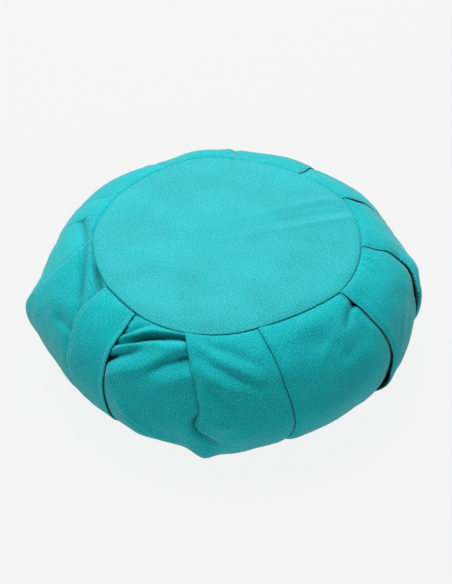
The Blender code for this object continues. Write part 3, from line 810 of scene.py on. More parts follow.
def coarse_cushion(section):
    """A coarse copy of the cushion without its tucks, a set of columns for each pleat, as
    (columns, rows, 3) points, and which way is out at each."""
    points, ways = [], []
    for number in range(len(FOLDS)):
        pleat = Pleat(section, number)
        for n in range(SETTLE_COLUMNS):
            offset = pleat.across * n / SETTLE_COLUMNS
            angle, out, _, seam, _ = pleat.run(offset[None], strokes=False)
            points.append(section.place(angle, out, seam)[0][SETTLE_ROWS])
            turn = np.radians(angle[0])
            way = [np.cos(turn) * section.level, np.sin(turn) * section.level, section.rise]
            ways.append(np.stack(way, axis=-1)[SETTLE_ROWS])
    return np.array(points), np.array(ways)


def settled_cushion(section):
    """How far pressure pushes each pleat out between its sewn edges and its fold lines, less
    each row's mean, in metres, from a short run of the cloth solver on the coarse copy."""
    if "field" in SETTLED:
        return SETTLED["field"]
    points, ways = coarse_cushion(section)
    columns, rows = points.shape[:2]
    grid = points.transpose(1, 0, 2)
    middles = grid[0].mean(axis=0), grid[-1].mean(axis=0)
    none = {"Wear": np.zeros((rows, columns))}
    body = grid_object("settling", grid, grid[:, :, :2], none, *middles)
    start = np.array([vertex.co for vertex in body.data.vertices])
    sewn = body.vertex_groups.new(name="Sewn")
    ends = list(range(columns)) + list(range((rows - 1) * columns, len(start)))
    folds = [
        row * columns + n
        for row in range(1, rows - 1)
        for n in range(0, columns, SETTLE_COLUMNS)
    ]
    sewn.add(ends, 1.0, "REPLACE")
    sewn.add(folds, SETTLE_FOLD_HOLD, "REPLACE")
    cloth = body.modifiers.new("Cloth", "CLOTH")
    cloth.settings.vertex_group_mass = "Sewn"
    cloth.settings.use_pressure = True
    cloth.settings.uniform_pressure_force = SETTLE_PRESSURE
    cloth.settings.tension_stiffness = SETTLE_STIFFNESS
    cloth.settings.compression_stiffness = SETTLE_STIFFNESS
    cloth.settings.effector_weights.gravity = 0.0
    cloth.point_cache.frame_end = SETTLE_FRAMES
    scene = bpy.context.scene
    for number in range(1, SETTLE_FRAMES + 1):
        scene.frame_set(number)
    seen = body.evaluated_get(bpy.context.evaluated_depsgraph_get())
    moved = np.array([vertex.co for vertex in seen.data.vertices]) - start
    scene.frame_set(1)
    bpy.data.meshes.remove(body.data)
    moved = moved[: rows * columns].reshape(rows, columns, 3).transpose(1, 0, 2)
    out = (moved * ways).sum(axis=-1)
    out -= out.mean(axis=0)  # the girth stays
    out = SETTLE_CAP * np.tanh(out / SETTLE_CAP)
    out = out.reshape(len(FOLDS), SETTLE_COLUMNS, rows)
    SETTLED["field"] = np.concatenate([out, np.roll(out, -1, axis=0)[:, :1]], axis=1)
    return SETTLED["field"]


def settled_out(section, number, share):
    """The same for one pleat, at shares of its width, on every row."""
    field = section.settled
    place = np.clip(share * SETTLE_COLUMNS, 0.0, SETTLE_COLUMNS - 0.001)
    low = place.astype(int)
    part = place - low
    part = (soft_step(part, 0.0, 1.0) + part) / 2
    rows = np.broadcast_to(section.settle_row, place.shape)
    upper = np.minimum(rows.astype(int), field.shape[2] - 2)
    down = rows - upper
    here = field[number]
    above = here[low, upper] * (1 - part) + here[low + 1, upper] * part
    below = here[low, upper + 1] * (1 - part) + here[low + 1, upper + 1] * part
    return above * (1 - down) + below * down


# ---- the flap ----------------------------------------------------------------------------


def creases_run_on(section, out, angle):
    """The creases beside the flap run on a little way under it."""
    return out + np.minimum(section.strokes("flap_end", angle)[0], 0.0)


def under_flap(section, out, offsets, pleat):
    """The band under the flap, clear of it and drawn in towards its free edge."""
    dip = FLAP_NIP * bell(np.maximum(pleat.across - offsets, 0.0), UNDER_DIP, 1)
    return out - (section.sizes.flap_cloth + section.sizes.piece_gap) - dip


# ---- meshes ------------------------------------------------------------------------------


def grid_object(name, rings, ring_maps, marks, first, last):
    """A closed skin over rings of points (rings, columns, 3), each joined to the next, and to
    one more point at either end. marks has a value for each of the rings' points by name."""
    count, columns = rings.shape[:2]
    points = [tuple(point) for point in rings.reshape(-1, 3)]
    faces = []
    for row in range(count - 1):
        upper, lower = row * columns, (row + 1) * columns
        for n in range(columns):
            m = (n + 1) % columns
            faces.append((upper + n, lower + n, lower + m, upper + m))
    maps = np.vstack([ring_maps.reshape(-1, 2), np.zeros((2, 2))])
    for tip, ring, turn in ((first, 0, False), (last, count - 1, True)):
        points.append(tuple(tip))
        centre, start = len(points) - 1, ring * columns
        for n in range(columns):
            a, b = start + n, start + (n + 1) % columns
            faces.append((centre, b, a) if turn else (centre, a, b))
    mesh = bpy.data.meshes.new(name)
    mesh.from_pydata(points, [], faces)
    layer = mesh.uv_layers.new(name="Cloth")
    corners = np.zeros(len(mesh.loops), dtype=np.int32)
    mesh.loops.foreach_get("vertex_index", corners)
    layer.data.foreach_set("uv", maps[corners].astype(np.float32).ravel())
    for label, values in marks.items():
        mark = mesh.attributes.new(label, "FLOAT", "POINT")
        values = np.append(values.reshape(-1), (0.0, 0.0))
        mark.data.foreach_set("value", values.astype(np.float32))
    mesh.polygons.foreach_set("use_smooth", [True] * len(mesh.polygons))
    mesh.update()
    piece = bpy.data.objects.new(name, mesh)
    bpy.context.scene.collection.objects.link(piece)
    return piece


def unfolded(angles):
    """A row's angles in order, without the tucks' turns back, for a ring under a panel."""
    around = np.sort(np.concatenate([angles - 360, angles, angles + 360]))
    return np.convolve(around, np.full(5, 0.2), "same")[len(angles) : 2 * len(angles)]


def seam_outline(sizes, angles):
    """The top seam's radius at angles, in metres."""
    radius = np.zeros(angles.shape)
    for number, fold in enumerate(FOLDS):
        after = FOLDS[(number + 1) % len(FOLDS)]
        start = FOLD_LINES[fold.name][0][0]
        end = FOLD_LINES[after.name][0][0] + (360 if number == len(FOLDS) - 1 else 0)
        place = (angles - start) % 360
        inside = place < end - start
        share = np.where(inside, place / (end - start), 0.0)
        here = through(fold.seam, fold.seam_face, after.seam, share) / 1000
        radius = np.where(inside, sizes.top_seam_radius + here, radius)
    return radius


def panel_height(sizes, inward, angle=None):
    """The top panel's height at metres in from its seam, crowned and rolled at its edge."""
    rim = sizes.seam_height + PANEL_LIFT
    share = 1 - np.minimum(inward / sizes.top_seam_radius, 1.0)
    front, pulled = 0.0, 1.0
    if angle is not None:
        front, pulled = bell(angle_apart(angle, FRONT_ANGLE), FRONT_SPAN), seam_pull(angle)
    roll = sizes.panel_roll * pulled * (1 + 0.9 * front)
    rounded = roll * (1 - bell(inward * 1000, 4.5 + 4.0 * front, 1.3))
    return rim + rounded + (PANEL_TOP - rim - roll) * (1 - share**2)


def panel_cloth(sizes, inward):
    """How thick the top panel is there: thin at its turned edge."""
    return TURNED_EDGE + (sizes.panel_cloth - TURNED_EDGE) * (1 - bell(inward * 1000, 1.6))


# ---- materials ---------------------------------------------------------------------------


class Tree:
    """Short calls for making and joining shader nodes."""

    def __init__(self, tree):
        self.tree, self.x = tree, 0

    def node(self, kind, **values):
        """A new node of a kind, with some of its settings."""
        node = self.tree.nodes.new(kind)
        self.x += 60
        node.location = (self.x, -self.x % 700)
        for key, value in values.items():
            setattr(node, key, value)
        return node

    def feed(self, socket, value):
        """Joins another node's socket to one, or sets its value."""
        if isinstance(value, bpy.types.NodeSocket):
            self.tree.links.new(value, socket)
        elif value is not None:
            socket.default_value = value

    def math(self, operation, *values, clamp=False):
        """A sum of one, two or three values."""
        node = self.node("ShaderNodeMath", operation=operation, use_clamp=clamp)
        for socket, value in zip(node.inputs, values):
            self.feed(socket, value)
        return node.outputs[0]

    def noise(self, vector, scale, detail, roughness=0.5):
        """A random pattern, about 0.5 on average."""
        node = self.node("ShaderNodeTexNoise")
        self.feed(node.inputs["Vector"], vector)
        node.inputs["Scale"].default_value = scale
        node.inputs["Detail"].default_value = detail
        node.inputs["Roughness"].default_value = roughness
        return node.outputs["Fac"]

    def mix(self, share, first, second, blend="MIX"):
        """Two colours mixed."""
        node = self.node("ShaderNodeMix", data_type="RGBA", blend_type=blend)
        self.feed(node.inputs["Factor"], share)
        self.feed(node.inputs["A"], first)
        self.feed(node.inputs["B"], second)
        return node.outputs["Result"]

    def span(self, value, low, high, to_low, to_high):
        """A value from one range moved to another, and kept within it."""
        node = self.node("ShaderNodeMapRange")
        for key, item in zip(("Value", "From Min", "From Max", "To Min", "To Max"),
                             (value, low, high, to_low, to_high)):
            self.feed(node.inputs[key], item)
        return node.outputs[0]

    def about_middle(self, value, height):
        """A value less 0.5, times a height."""
        return self.math("MULTIPLY", self.math("SUBTRACT", value, 0.5), height)


def new_group(name, inputs, outputs):
    """A new group of shader nodes, with its sockets."""
    group = bpy.data.node_groups.new(name, "ShaderNodeTree")
    for label, kind, value in inputs:
        socket = group.interface.new_socket(label, in_out="INPUT", socket_type=kind)
        if value is not None:
            socket.default_value = value
    for label, kind in outputs:
        group.interface.new_socket(label, in_out="OUTPUT", socket_type=kind)
    tree = Tree(group)
    return group, tree, tree.node("NodeGroupInput"), tree.node("NodeGroupOutput")


def twill_weave():
    """The weave: slanting wales, broken up into flecks, from a map of the cloth in metres.
    Run X and Run Y are the way across the wales."""
    name = "Twill weave"
    if name in bpy.data.node_groups:
        return bpy.data.node_groups[name]
    group, tree, given, result = new_group(
        name,
        (
            ("Cloth", "NodeSocketVector", None),
            ("Wale", "NodeSocketFloat", 0.0025),
            ("Run X", "NodeSocketFloat", 0.89),
            ("Run Y", "NodeSocketFloat", -0.456),
        ),
        (("Height", "NodeSocketFloat"), ("Fleck", "NodeSocketFloat")),
    )
    get = given.outputs
    parts = tree.node("ShaderNodeSeparateXYZ")
    tree.feed(parts.inputs[0], get["Cloth"])
    u, v = parts.outputs["X"], parts.outputs["Y"]
    drift = tree.math("SUBTRACT", tree.noise(get["Cloth"], 70.0, 2.0), 0.5)
    across = tree.math("MULTIPLY", u, get["Run X"])
    across = tree.math("ADD", across, tree.math("MULTIPLY", v, get["Run Y"]))
    across = tree.math("DIVIDE", across, get["Wale"])
    across = tree.math("MULTIPLY_ADD", drift, 1.2, across)
    along = tree.math("MULTIPLY", v, get["Run X"])
    along = tree.math("SUBTRACT", along, tree.math("MULTIPLY", u, get["Run Y"]))
    along = tree.math("DIVIDE", along, get["Wale"])
    # the wales, which come and go in patches
    wave = tree.math("SINE", tree.math("MULTIPLY", across, FULL_TURN))
    patch = tree.span(tree.noise(get["Cloth"], 150.0, 1.0), 0.35, 0.65, 0.15, 1.0)
    twill = tree.math("MULTIPLY", tree.math("MULTIPLY", wave, 0.5), tree.math("MULTIPLY", patch, 0.45))
    # flecks drawn out along the wales, and fuzz
    long_way = tree.node("ShaderNodeCombineXYZ")
    tree.feed(long_way.inputs["X"], across)
    tree.feed(long_way.inputs["Y"], tree.math("MULTIPLY", along, 0.5))
    streak = tree.noise(long_way.outputs[0], 3.6, 1.0, 0.6)
    fuzz = tree.noise(get["Cloth"], 800.0, 1.0, 0.7)
    fleck = tree.math("MULTIPLY_ADD", tree.math("SUBTRACT", streak, 0.5), 1.2, twill)
    fleck = tree.math("MULTIPLY_ADD", tree.math("SUBTRACT", fuzz, 0.5), 1.9, fleck)
    tree.feed(result.inputs["Height"], fleck)
    tree.feed(result.inputs["Fleck"], fleck)
    return group


def cotton_tone():
    """The cloth's colour and roughness: mottled, flecked, paler along fold edges with a painted
    highlight, and darker where creases keep the light out, with painted shade."""
    name = "Cotton tone"
    if name in bpy.data.node_groups:
        return bpy.data.node_groups[name]
    group, tree, given, result = new_group(
        name,
        (
            ("Colour", "NodeSocketColor", (0.01, 0.5, 0.52, 1.0)),
            ("Cloth", "NodeSocketVector", None),
            ("Place", "NodeSocketVector", None),
            ("Fleck", "NodeSocketFloat", 0.0),
            ("Wear", "NodeSocketFloat", 0.0),
            ("PaintedShade", "NodeSocketFloat", 0.0),
            ("Highlight strength", "NodeSocketFloat", 0.3),
            ("Mottle", "NodeSocketFloat", 0.1),
        ),
        (("Colour", "NodeSocketColor"), ("Roughness", "NodeSocketFloat")),
    )
    get = given.outputs
    cloudy = tree.noise(get["Place"], 26.0, 3.0)
    grainy = tree.noise(get["Cloth"], 700.0, 1.0, 0.6)
    uneven = tree.math("ADD", tree.about_middle(cloudy, 0.8), tree.about_middle(grainy, 1.6))
    uneven = tree.math("MULTIPLY_ADD", get["Fleck"], 1.4, uneven)
    gain = tree.math("MULTIPLY_ADD", uneven, get["Mottle"], 1.0)
    # painted shade: the colour is darkened by the crease and seam shade mark
    let_in = tree.math("MULTIPLY_ADD", get["PaintedShade"], -SHADE_DEPTH, 1.0, clamp=True)
    gain = tree.math("MULTIPLY", gain, let_in)
    grey = tree.node("ShaderNodeCombineColor")
    for socket in grey.inputs:
        tree.feed(socket, gain)
    colour = tree.mix(1.0, get["Colour"], grey.outputs[0], "MULTIPLY")
    paler = tree.mix(0.4, get["Colour"], (0.45, 0.9, 0.92, 1.0))
    flecks = tree.math("MULTIPLY", tree.span(get["Fleck"], 0.18, 0.5, 0.0, 0.3), let_in)
    colour = tree.mix(flecks, colour, paler)
    # a painted highlight makes fold edges paler
    highlit = tree.math("MULTIPLY", get["Wear"], get["Highlight strength"])
    colour = tree.mix(highlit, colour, paler)
    rough = tree.span(grainy, 0.3, 0.7, 0.76, 0.86)
    tree.feed(result.inputs["Colour"], colour)
    tree.feed(result.inputs["Roughness"], rough)
    return group


def cotton(name, colour, cloth, wear, wale, run=BAND_RUN, smoother=0.0, gloss=0.2):
    """A cotton twill finish of one colour. wear is how much paler a painted
    highlight makes an edge, and smoother is taken off the roughness."""
    material = bpy.data.materials.new(name)
    material.use_nodes = True
    tree = Tree(material.node_tree)
    shader = material.node_tree.nodes["Principled BSDF"]
    flat = tree.node("ShaderNodeUVMap", uv_map="Cloth").outputs["UV"]
    place = tree.node("ShaderNodeTexCoord").outputs["Object"]
    highlit = tree.node("ShaderNodeAttribute", attribute_name="Wear").outputs["Fac"]
    shaded = tree.node("ShaderNodeAttribute", attribute_name="PaintedShade").outputs["Fac"]
    weave = tree.node("ShaderNodeGroup", node_tree=twill_weave())
    tree.feed(weave.inputs["Cloth"], flat)
    weave.inputs["Wale"].default_value = wale
    weave.inputs["Run X"].default_value = run[0]
    weave.inputs["Run Y"].default_value = run[1]
    tone = tree.node("ShaderNodeGroup", node_tree=cotton_tone())
    tone.inputs["Colour"].default_value = (*colour, 1.0)
    tree.feed(tone.inputs["Cloth"], flat)
    tree.feed(tone.inputs["Place"], place)
    tree.feed(tone.inputs["Fleck"], weave.outputs["Fleck"])
    tree.feed(tone.inputs["Wear"], highlit)
    tree.feed(tone.inputs["PaintedShade"], shaded)
    tone.inputs["Highlight strength"].default_value = wear
    tone.inputs["Mottle"].default_value = cloth.mottle
    bump = tree.node("ShaderNodeBump")
    tree.feed(bump.inputs["Height"], weave.outputs["Height"])
    bump.inputs["Strength"].default_value = cloth.weave_strength
    bump.inputs["Distance"].default_value = cloth.weave_depth
    tree.feed(shader.inputs["Base Color"], tone.outputs["Colour"])
    tree.feed(shader.inputs["Roughness"], tree.math("SUBTRACT", tone.outputs["Roughness"], smoother))
    tree.feed(shader.inputs["Normal"], bump.outputs["Normal"])
    shader.inputs["Specular IOR Level"].default_value = gloss
    shader.inputs["Sheen Weight"].default_value = cloth.sheen
    shader.inputs["Sheen Roughness"].default_value = 0.3
    shader.inputs["Sheen Tint"].default_value = (0.85, 1.0, 1.0, 1.0)
    return material


def panel_cotton(name, cloth):
    """The panels' finish, flatter and so a little smoother than the band's."""
    return cotton(name, cloth.panel_colour, cloth, 0.4, cloth.panel_wale, PANEL_RUN,
                  smoother=0.14, gloss=0.32)


# ---- what a user would change -------------------------------------------------------------


class ZafuSizes(PropertyGroup):
    """The cushion's sizes."""

    band_radius: FloatProperty(
        name="Band radius",
        description="The band's mean radius at its fullest height",
        default=0.180,
        subtype="DISTANCE",
        unit="LENGTH",
    )
    seam_height: FloatProperty(
        name="Seam height",
        description="The top panel's seam above the floor",
        default=0.124,
        subtype="DISTANCE",
        unit="LENGTH",
    )
    top_seam_radius: FloatProperty(
        name="Top seam radius",
        description="The top seam's mean radius",
        default=0.1235,
        subtype="DISTANCE",
        unit="LENGTH",
    )
    low_seam_radius: FloatProperty(
        name="Low seam radius",
        description="The low seam's radius",
        default=0.118,
        subtype="DISTANCE",
        unit="LENGTH",
    )
    groove: FloatProperty(
        name="Seam groove",
        description="How deep the band turns down into the top seam",
        default=0.0008,
        precision=4,
        subtype="DISTANCE",
        unit="LENGTH",
    )
    seam_puff: FloatProperty(
        name="Seam puff",
        description="How far the band stands up beside the top seam",
        default=0.0018,
        precision=4,
        subtype="DISTANCE",
        unit="LENGTH",
    )
    panel_roll: FloatProperty(
        name="Panel roll",
        description="How far the top panel rounds down to its seam",
        default=0.0018,
        precision=4,
        subtype="DISTANCE",
        unit="LENGTH",
    )
    panel_cloth: FloatProperty(
        name="Panel thickness",
        description="A panel with its seam allowance under it",
        default=0.0018,
        precision=4,
        subtype="DISTANCE",
        unit="LENGTH",
    )
    flap_cloth: FloatProperty(
        name="Flap thickness",
        description="The strip's hemmed end",
        default=0.0016,
        precision=4,
        subtype="DISTANCE",
        unit="LENGTH",
    )
    piece_gap: FloatProperty(
        name="Gap",
        description="Between pieces that lie on each other",
        default=0.00035,
        precision=5,
        subtype="DISTANCE",
        unit="LENGTH",
    )


class ZafuCloth(PropertyGroup):
    """The cotton twill's colours and weave."""

    band_colour: FloatVectorProperty(
        name="Band colour",
        description="The pleated side band",
        default=(0.004, 0.585, 0.63),
        subtype="COLOR",
        min=0.0,
        max=1.0,
    )
    # The panels are the band's cloth, painted darker in green and blue to offset the strong top light on
    # them, and redder as a painted sheen.
    panel_colour: FloatVectorProperty(
        name="Panel colour",
        description="The round panels",
        default=(0.008, 0.57, 0.605),
        subtype="COLOR",
        min=0.0,
        max=1.0,
    )
    flap_colour: FloatVectorProperty(
        name="Flap colour",
        description="The hemmed end of the band",
        default=(0.004, 0.585, 0.63),
        subtype="COLOR",
        min=0.0,
        max=1.0,
    )
    wale: FloatProperty(
        name="Wale",
        description="From one slanting wale of the twill to the next, coarser than real twill",
        default=0.0024,
        precision=4,
        subtype="DISTANCE",
        unit="LENGTH",
    )
    panel_wale: FloatProperty(
        name="Panel wale",
        description="The same on the round panels",
        default=0.0027,
        precision=4,
        subtype="DISTANCE",
        unit="LENGTH",
    )
    weave_strength: FloatProperty(
        name="Weave strength",
        description="How strongly the weave shows",
        default=0.5,
        min=0.0,
        max=1.0,
        subtype="FACTOR",
    )
    weave_depth: FloatProperty(
        name="Weave depth",
        description="How far the threads stand out",
        default=0.0005,
        precision=5,
        subtype="DISTANCE",
        unit="LENGTH",
    )
    mottle: FloatProperty(
        name="Mottling",
        description="How unevenly the cloth has taken its dye",
        default=0.42,
        min=0.0,
        max=1.0,
        subtype="FACTOR",
    )
    sheen: FloatProperty(
        name="Sheen",
        description="How much light the cotton's fuzz catches",
        default=0.5,
        min=0.0,
        max=1.0,
        subtype="FACTOR",
    )


class ZafuStudio(PropertyGroup):
    """The floor, the lights and the camera."""

    floor_colour: FloatVectorProperty(
        name="Floor colour",
        description="The floor's own colour, which its glow makes pale",
        default=(0.03, 0.03, 0.03),
        subtype="COLOR",
        min=0.0,
        max=1.0,
    )
    floor_glow: FloatProperty(
        name="Floor glow",
        description="How much the floor lights itself, which softens the shadow on it",
        default=0.874,
        min=0.0,
    )
    top_light: FloatProperty(
        name="Top light",
        description="The wide soft light over the cushion",
        default=30.0,
        min=0.0,
        subtype="POWER",
        unit="POWER",
    )
    back_light: FloatProperty(
        name="Back light",
        description="The soft light behind the cushion, which its fuzz catches",
        default=20.0,
        min=0.0,
        subtype="POWER",
        unit="POWER",
    )
    sky: FloatProperty(
        name="Surroundings",
        description="The brightness of the pale room round the cushion",
        default=0.235,
        min=0.0,
    )
    lens: FloatProperty(
        name="Lens",
        description="The camera's focal length",
        default=98.0,
        min=10.0,
        subtype="DISTANCE_CAMERA",
        unit="CAMERA",
    )
    distance: FloatProperty(
        name="Camera distance",
        description="From the middle of the cushion",
        default=1.5,
        subtype="DISTANCE",
        unit="LENGTH",
    )
    elevation: FloatProperty(
        name="Camera elevation",
        description="The camera's angle above the floor",
        default=np.radians(41.5),
        subtype="ANGLE",
        unit="ROTATION",
    )


# ---- operators ---------------------------------------------------------------------------


def dress(piece, node, material):
    """Finishes a piece and puts it in the frame in its node's place."""
    piece.data.materials.append(material)
    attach(piece, "root")
    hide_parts(node)


class ZAFU_OT_side_band(Operator):
    """Makes the pleated side band with the filling in it"""

    bl_idname = "zafu.side_band"
    bl_label = "Side band"

    def execute(self, context):
        sizes, cloth, _ = settings(context)
        section = Section(sizes)
        section.settled = settled_cushion(section)
        grid = band_grid(section)
        points, maps, wear, painted_shade, angle = (item.swapaxes(0, 1) for item in grid)
        turn = unfolded(angle[0])
        radius = seam_outline(sizes, turn)
        beds = [self.bed(sizes, turn, radius, radius * (1 - share)) for share in BED_SHARES]
        low_turn = np.radians(unfolded(angle[-1]))
        points[-1] = ring_points(sizes.low_seam_radius, low_turn, points[-1, :, 2])
        underside = sizes.panel_cloth + sizes.piece_gap
        inner = ring_points(sizes.low_seam_radius * UNDERSIDE_SHARE, low_turn, underside)
        rings = np.concatenate([np.array(beds), points, inner[None]])
        above = len(beds)
        marks = {
            "Wear": np.concatenate([wear[:1] * 0] * above + [wear, wear[-1:] * 0]),
            "PaintedShade": np.concatenate([painted_shade[:1]] * above + [painted_shade, painted_shade[-1:] * 0]),
        }
        maps = np.concatenate([maps[:1]] * above + [maps, maps[-1:]])
        first = self.bed(sizes, turn[:1], radius[:1], radius[:1])[0]
        band = grid_object("band_cloth", rings, maps, marks, first, (0.0, 0.0, underside))
        finish = cotton("Band cotton twill", cloth.band_colour, cloth, 0.8, cloth.wale)
        dress(band, "side_band", finish)
        return {"FINISHED"}

    def bed(self, sizes, angle, radius, inward):
        """A ring of the filling's top, just under the panel."""
        height = panel_height(sizes, inward, angle) - panel_cloth(sizes, inward) - sizes.piece_gap
        return ring_points(radius - inward, np.radians(angle), height)


class ZAFU_OT_top_panel(Operator):
    """Makes the round panel on top"""

    bl_idname = "zafu.top_panel"
    bl_label = "Top panel"

    def execute(self, context):
        sizes, cloth, _ = settings(context)
        angles = np.arange(0.0, 360.0, 360.0 / PANEL_COLUMNS)
        turn = np.radians(angles)
        outline = seam_outline(sizes, angles) - sizes.piece_gap
        reaches = [outline - step / 1000 for step in PANEL_STEPS]
        reaches += [outline * share for share in PANEL_SHARES]
        top, under, painted_shade = [], [], []
        for reach in reaches:
            from_edge = outline - reach
            height = panel_height(sizes, from_edge, angles)
            under.append(ring_points(reach, turn, height - panel_cloth(sizes, from_edge)))
            flat = ring_points(reach, turn, 0.0)
            top.append(ring_points(reach, turn, height + self.creases(flat, from_edge * 1000)))
            # painted shade along the panel's seam
            painted_shade.append(SEAM_SHADE * seam_pull(angles) * bell(from_edge * 1000, 0.9))
        rings = np.array(top[::-1] + under)
        painted_shade = np.array(painted_shade[::-1] + painted_shade)
        marks = {"Wear": painted_shade * 0, "PaintedShade": painted_shade}
        middle = panel_height(sizes, sizes.top_seam_radius)
        tip = (0.0, 0.0, middle)
        bottom = (0.0, 0.0, middle - sizes.panel_cloth)
        panel = grid_object("top_cloth", rings, rings[:, :, :2], marks, tip, bottom)
        dress(panel, "top_panel", panel_cotton("Panel cotton twill", cloth))
        return {"FINISHED"}

    def creases(self, points, from_edge):
        """How far the panel's creases and its unevenness stand out, in metres."""
        height = np.zeros(len(points))
        for stroke in PANEL_STROKES:
            line = np.array([(x / 1000, y / 1000, 0.0) for x, y in stroke.line])
            away, along, _ = line_distance(points, line)
            shape = bell(away * 1000, stroke.width)
            height += stroke.rise / 1000 * shape * (1 - along) * soft_step(along, -0.05, 0.1)
        wander = sum(unevenness(points, length, seed) * tall for length, seed, tall in PANEL_WAVES)
        return height + wander / 1000 * soft_step(from_edge, 1.0, 12.0)


class ZAFU_OT_bottom_panel(Operator):
    """Makes the round panel underneath"""

    bl_idname = "zafu.bottom_panel"
    bl_label = "Bottom panel"

    def execute(self, context):
        sizes, cloth, _ = settings(context)
        turn = np.radians(np.arange(0.0, 360.0, 360.0 / UNDERSIDE_COLUMNS))
        radius = sizes.low_seam_radius * UNDERSIDE_SHARE - 0.0009
        thick = sizes.panel_cloth - 0.0002
        profile = [(share, thick) for share in UNDERSIDE_SHARES]
        profile += [(1.0, thick * 0.75), (1.004, thick * 0.5), (1.0, thick * 0.25)]
        profile += [(share, 0.0) for share in UNDERSIDE_SHARES[::-1]]
        rings = np.array([ring_points(radius * share, turn, height) for share, height in profile])
        plain = np.zeros(rings.shape[:2])
        marks = {"Wear": plain, "PaintedShade": plain}
        middles = (0.0, 0.0, thick), (0.0, 0.0, 0.0)
        panel = grid_object("bottom_cloth", rings, rings[:, :, :2], marks, *middles)
        finish = panel_cotton("Underside cotton twill", cloth)
        dress(panel, "bottom_panel", finish)
        return {"FINISHED"}


class ZAFU_OT_closing_flap(Operator):
    """Makes the hemmed end of the band that laps over the slit"""

    bl_idname = "zafu.closing_flap"
    bl_label = "Closing flap"

    def execute(self, context):
        sizes, cloth, _ = settings(context)
        section = Section(sizes)
        section.settled = settled_cushion(section)
        pleat = Pleat(section, [fold.name for fold in FOLDS].index("flap_start"))
        across = pleat.across - 2 * HEM_INSET
        offsets = self.columns(across)
        angle, out, _, seam, _ = pleat.run(offsets)
        plain = section.place(angle, out, seam)
        from_edge = np.minimum(offsets - HEM_INSET, HEM_INSET + across - offsets)
        stitch = bell(from_edge - STITCH_LINE, STITCH_WIDTH)
        top = out + rough_cloth(section, plain) + seam_gathers(section, angle)
        top = top - STITCH_DEPTH * stitch
        # a painted highlight along the hem's edge, and a paler line along its stitching
        hem_highlight = 0.8 * (1 - soft_step(from_edge, 0.0, HEM_EDGE))
        wear = np.where(offsets < HEM_INSET + across / 2, hem_highlight, 0.0) + 0.35 * stitch
        upper = list(zip(angle, top, seam, wear, offsets))
        lower = list(zip(angle, top - sizes.flap_cloth, seam, wear * 0, offsets))
        rows = upper + [self.turned(pleat, upper[-1], turn, 1) for turn in FLAP_TURNS]
        rows += lower[::-1] + [self.turned(pleat, upper[0], turn, -1) for turn in FLAP_TURNS[::-1]]
        angles, outs, seams, highlights, us = (np.array(column) for column in zip(*rows))
        points = section.place(angles, outs, seams)
        keep = (section.slopes < 88.9) & (section.slopes > -86.0)
        points = points[:, keep].transpose(1, 0, 2)
        down = np.broadcast_to(section.down, us.shape)
        maps = np.stack([us[:, keep].T / 1000, down[:, keep].T], axis=-1)
        highlit = highlights[:, keep].T
        marks = {"Wear": highlit, "PaintedShade": highlit * 0}
        middles = points[0].mean(axis=0), points[-1].mean(axis=0)
        flap = grid_object("flap_cloth", points, maps, marks, *middles)
        finish = cotton("Flap cotton twill", cloth.flap_colour, cloth, 0.6, cloth.wale)
        dress(flap, "closing_flap", finish)
        return {"FINISHED"}

    def columns(self, across):
        """Where the flap's columns lie, in mm from its fold line, close together at its edges."""
        near, between = [HEM_INSET + step for step in FLAP_STEPS], across - 2 * FLAP_STEPS[-1]
        columns = [step * np.ones(len(across)) for step in near]
        for n in range(1, FLAP_COLUMNS):
            columns.append(near[-1] + between * n / FLAP_COLUMNS)
        columns += [HEM_INSET + across - step for step in FLAP_STEPS[::-1]]
        return np.array(columns)

    def turned(self, pleat, column, turn, side):
        """A column on the flap's rounded edge, so many degrees round from one on its top."""
        _, out, seam, wear, offset = column
        half = pleat.section.sizes.flap_cloth / 2
        offset = offset + side * half * 1000 * np.sin(np.radians(turn))
        out = out - half * (1 - np.cos(np.radians(turn)))
        return pleat.start + offset * pleat.per_mm, out, seam, wear, offset


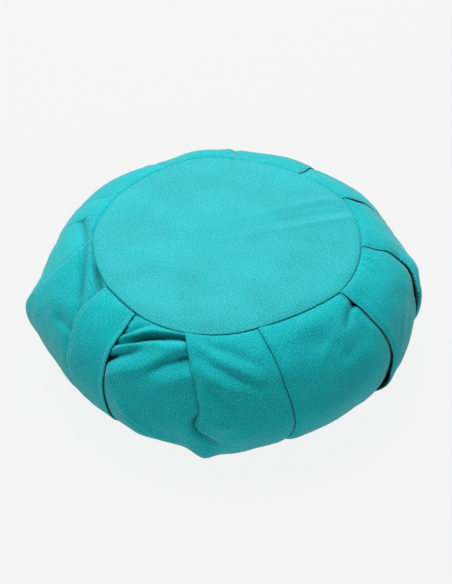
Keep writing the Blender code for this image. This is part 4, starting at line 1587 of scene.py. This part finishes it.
class ZAFU_OT_stage(Operator):
    """Makes the floor, the lights and the camera"""

    bl_idname = "zafu.stage"
    bl_label = "Stage"

    def execute(self, context):
        _, _, studio = settings(context)
        self.floor(studio)
        self.lights(studio)
        self.camera(context, studio)
        context.scene.view_settings.view_transform = "Standard"
        context.scene.view_settings.look = "None"
        return {"FINISHED"}

    def floor(self, studio):
        """The pale floor, which looks brighter to the camera than the light that it gives."""
        mesh = bpy.data.meshes.new("floor")
        corners = [(x * FLOOR_HALF, y * FLOOR_HALF, 0.0) for x, y in ((-1, -1), (1, -1), (1, 1), (-1, 1))]
        mesh.from_pydata(corners, [], [(0, 1, 2, 3)])
        floor = bpy.data.objects.new("floor", mesh)
        floor.location.z = -FLOOR_DROP
        bpy.context.scene.collection.objects.link(floor)
        material = bpy.data.materials.new("Pale floor")
        material.use_nodes = True
        shader = material.node_tree.nodes["Principled BSDF"]
        shader.inputs["Roughness"].default_value = 0.9
        shader.inputs["Specular IOR Level"].default_value = 0.1
        shader.inputs["Emission Color"].default_value = WHITE
        tree = Tree(material.node_tree)
        seen = tree.node("ShaderNodeLightPath").outputs["Is Camera Ray"]
        shown = (*studio.floor_colour, 1.0)
        lit = tree.mix(seen, (0.2, 0.2, 0.2, 1.0), shown)
        tree.feed(shader.inputs["Base Color"], lit)
        glow = tree.span(seen, 0.0, 1.0, FLOOR_BOUNCE, studio.floor_glow)
        tree.feed(shader.inputs["Emission Strength"], glow)
        mesh.materials.append(material)

    def lights(self, studio):
        """The pale room and two soft lights."""
        world = bpy.data.worlds.new("Pale room")
        world.use_nodes = True
        back = world.node_tree.nodes["Background"]
        back.inputs["Color"].default_value = WHITE
        tree = Tree(world.node_tree)
        seen = tree.node("ShaderNodeLightPath").outputs["Is Camera Ray"]
        tree.feed(back.inputs["Strength"], tree.span(seen, 0.0, 1.0, studio.sky, ROOM_SHOWN))
        bpy.context.scene.world = world
        aim = Vector((0.0, 0.0, AIM_HEIGHT))
        for name, place, size, power in (
            ("Top light", (-0.34, 0.50, 1.95), 1.3, studio.top_light),
            ("Back light", (0.0, 2.3, 0.95), 1.8, studio.back_light),
        ):
            data = bpy.data.lights.new(name, "AREA")
            data.shape = "SQUARE"
            data.size = size
            data.energy = power
            light = bpy.data.objects.new(name, data)
            light.location = place
            light.rotation_euler = (aim - Vector(place)).to_track_quat("-Z", "Y").to_euler()
            bpy.context.scene.collection.objects.link(light)

    def camera(self, context, studio):
        """The camera, in front of the cushion and above it."""
        data = bpy.data.cameras.new("Camera")
        data.lens = studio.lens
        data.sensor_width = 36.0
        data.clip_start = 0.1
        data.clip_end = 20.0
        camera = bpy.data.objects.new("Camera", data)
        back = Vector((0.0, -np.cos(studio.elevation), np.sin(studio.elevation)))
        camera.location = Vector((0.0, 0.0, LOOK_HEIGHT)) + back * studio.distance
        camera.rotation_euler = (-back).to_track_quat("-Z", "Y").to_euler()
        context.scene.collection.objects.link(camera)
        context.scene.camera = camera


class ZAFU_PT_maker(Panel):
    """The cushion's pieces and its stage"""

    bl_idname = "ZAFU_PT_maker"
    bl_label = "Zafu cushion"
    bl_space_type = "VIEW_3D"
    bl_region_type = "UI"
    bl_category = "Zafu"

    def draw(self, context):
        layout = self.layout
        for group in settings(context):
            box = layout.box()
            for key in group.bl_rna.properties.keys():
                if key not in ("rna_type", "name"):
                    box.prop(group, key)
        for operator in PIECE_OPERATORS + (ZAFU_OT_stage,):
            layout.operator(operator.bl_idname)


PIECE_OPERATORS = (
    ZAFU_OT_side_band,
    ZAFU_OT_top_panel,
    ZAFU_OT_bottom_panel,
    ZAFU_OT_closing_flap,
)
CLASSES = (ZafuSizes, ZafuCloth, ZafuStudio) + PIECE_OPERATORS + (ZAFU_OT_stage, ZAFU_PT_maker)


def register():
    for item in CLASSES:
        bpy.utils.register_class(item)
    bpy.types.Scene.zafu_sizes = PointerProperty(type=ZafuSizes)
    bpy.types.Scene.zafu_cloth = PointerProperty(type=ZafuCloth)
    bpy.types.Scene.zafu_studio = PointerProperty(type=ZafuStudio)


def unregister():
    del bpy.types.Scene.zafu_studio
    del bpy.types.Scene.zafu_cloth
    del bpy.types.Scene.zafu_sizes
    for item in reversed(CLASSES):
        bpy.utils.unregister_class(item)


def main():
    register()
    bpy.ops.zafu.side_band()
    bpy.ops.zafu.top_panel()
    bpy.ops.zafu.bottom_panel()
    bpy.ops.zafu.closing_flap()
    bpy.ops.zafu.stage()


if __name__ == "__main__":
    main()
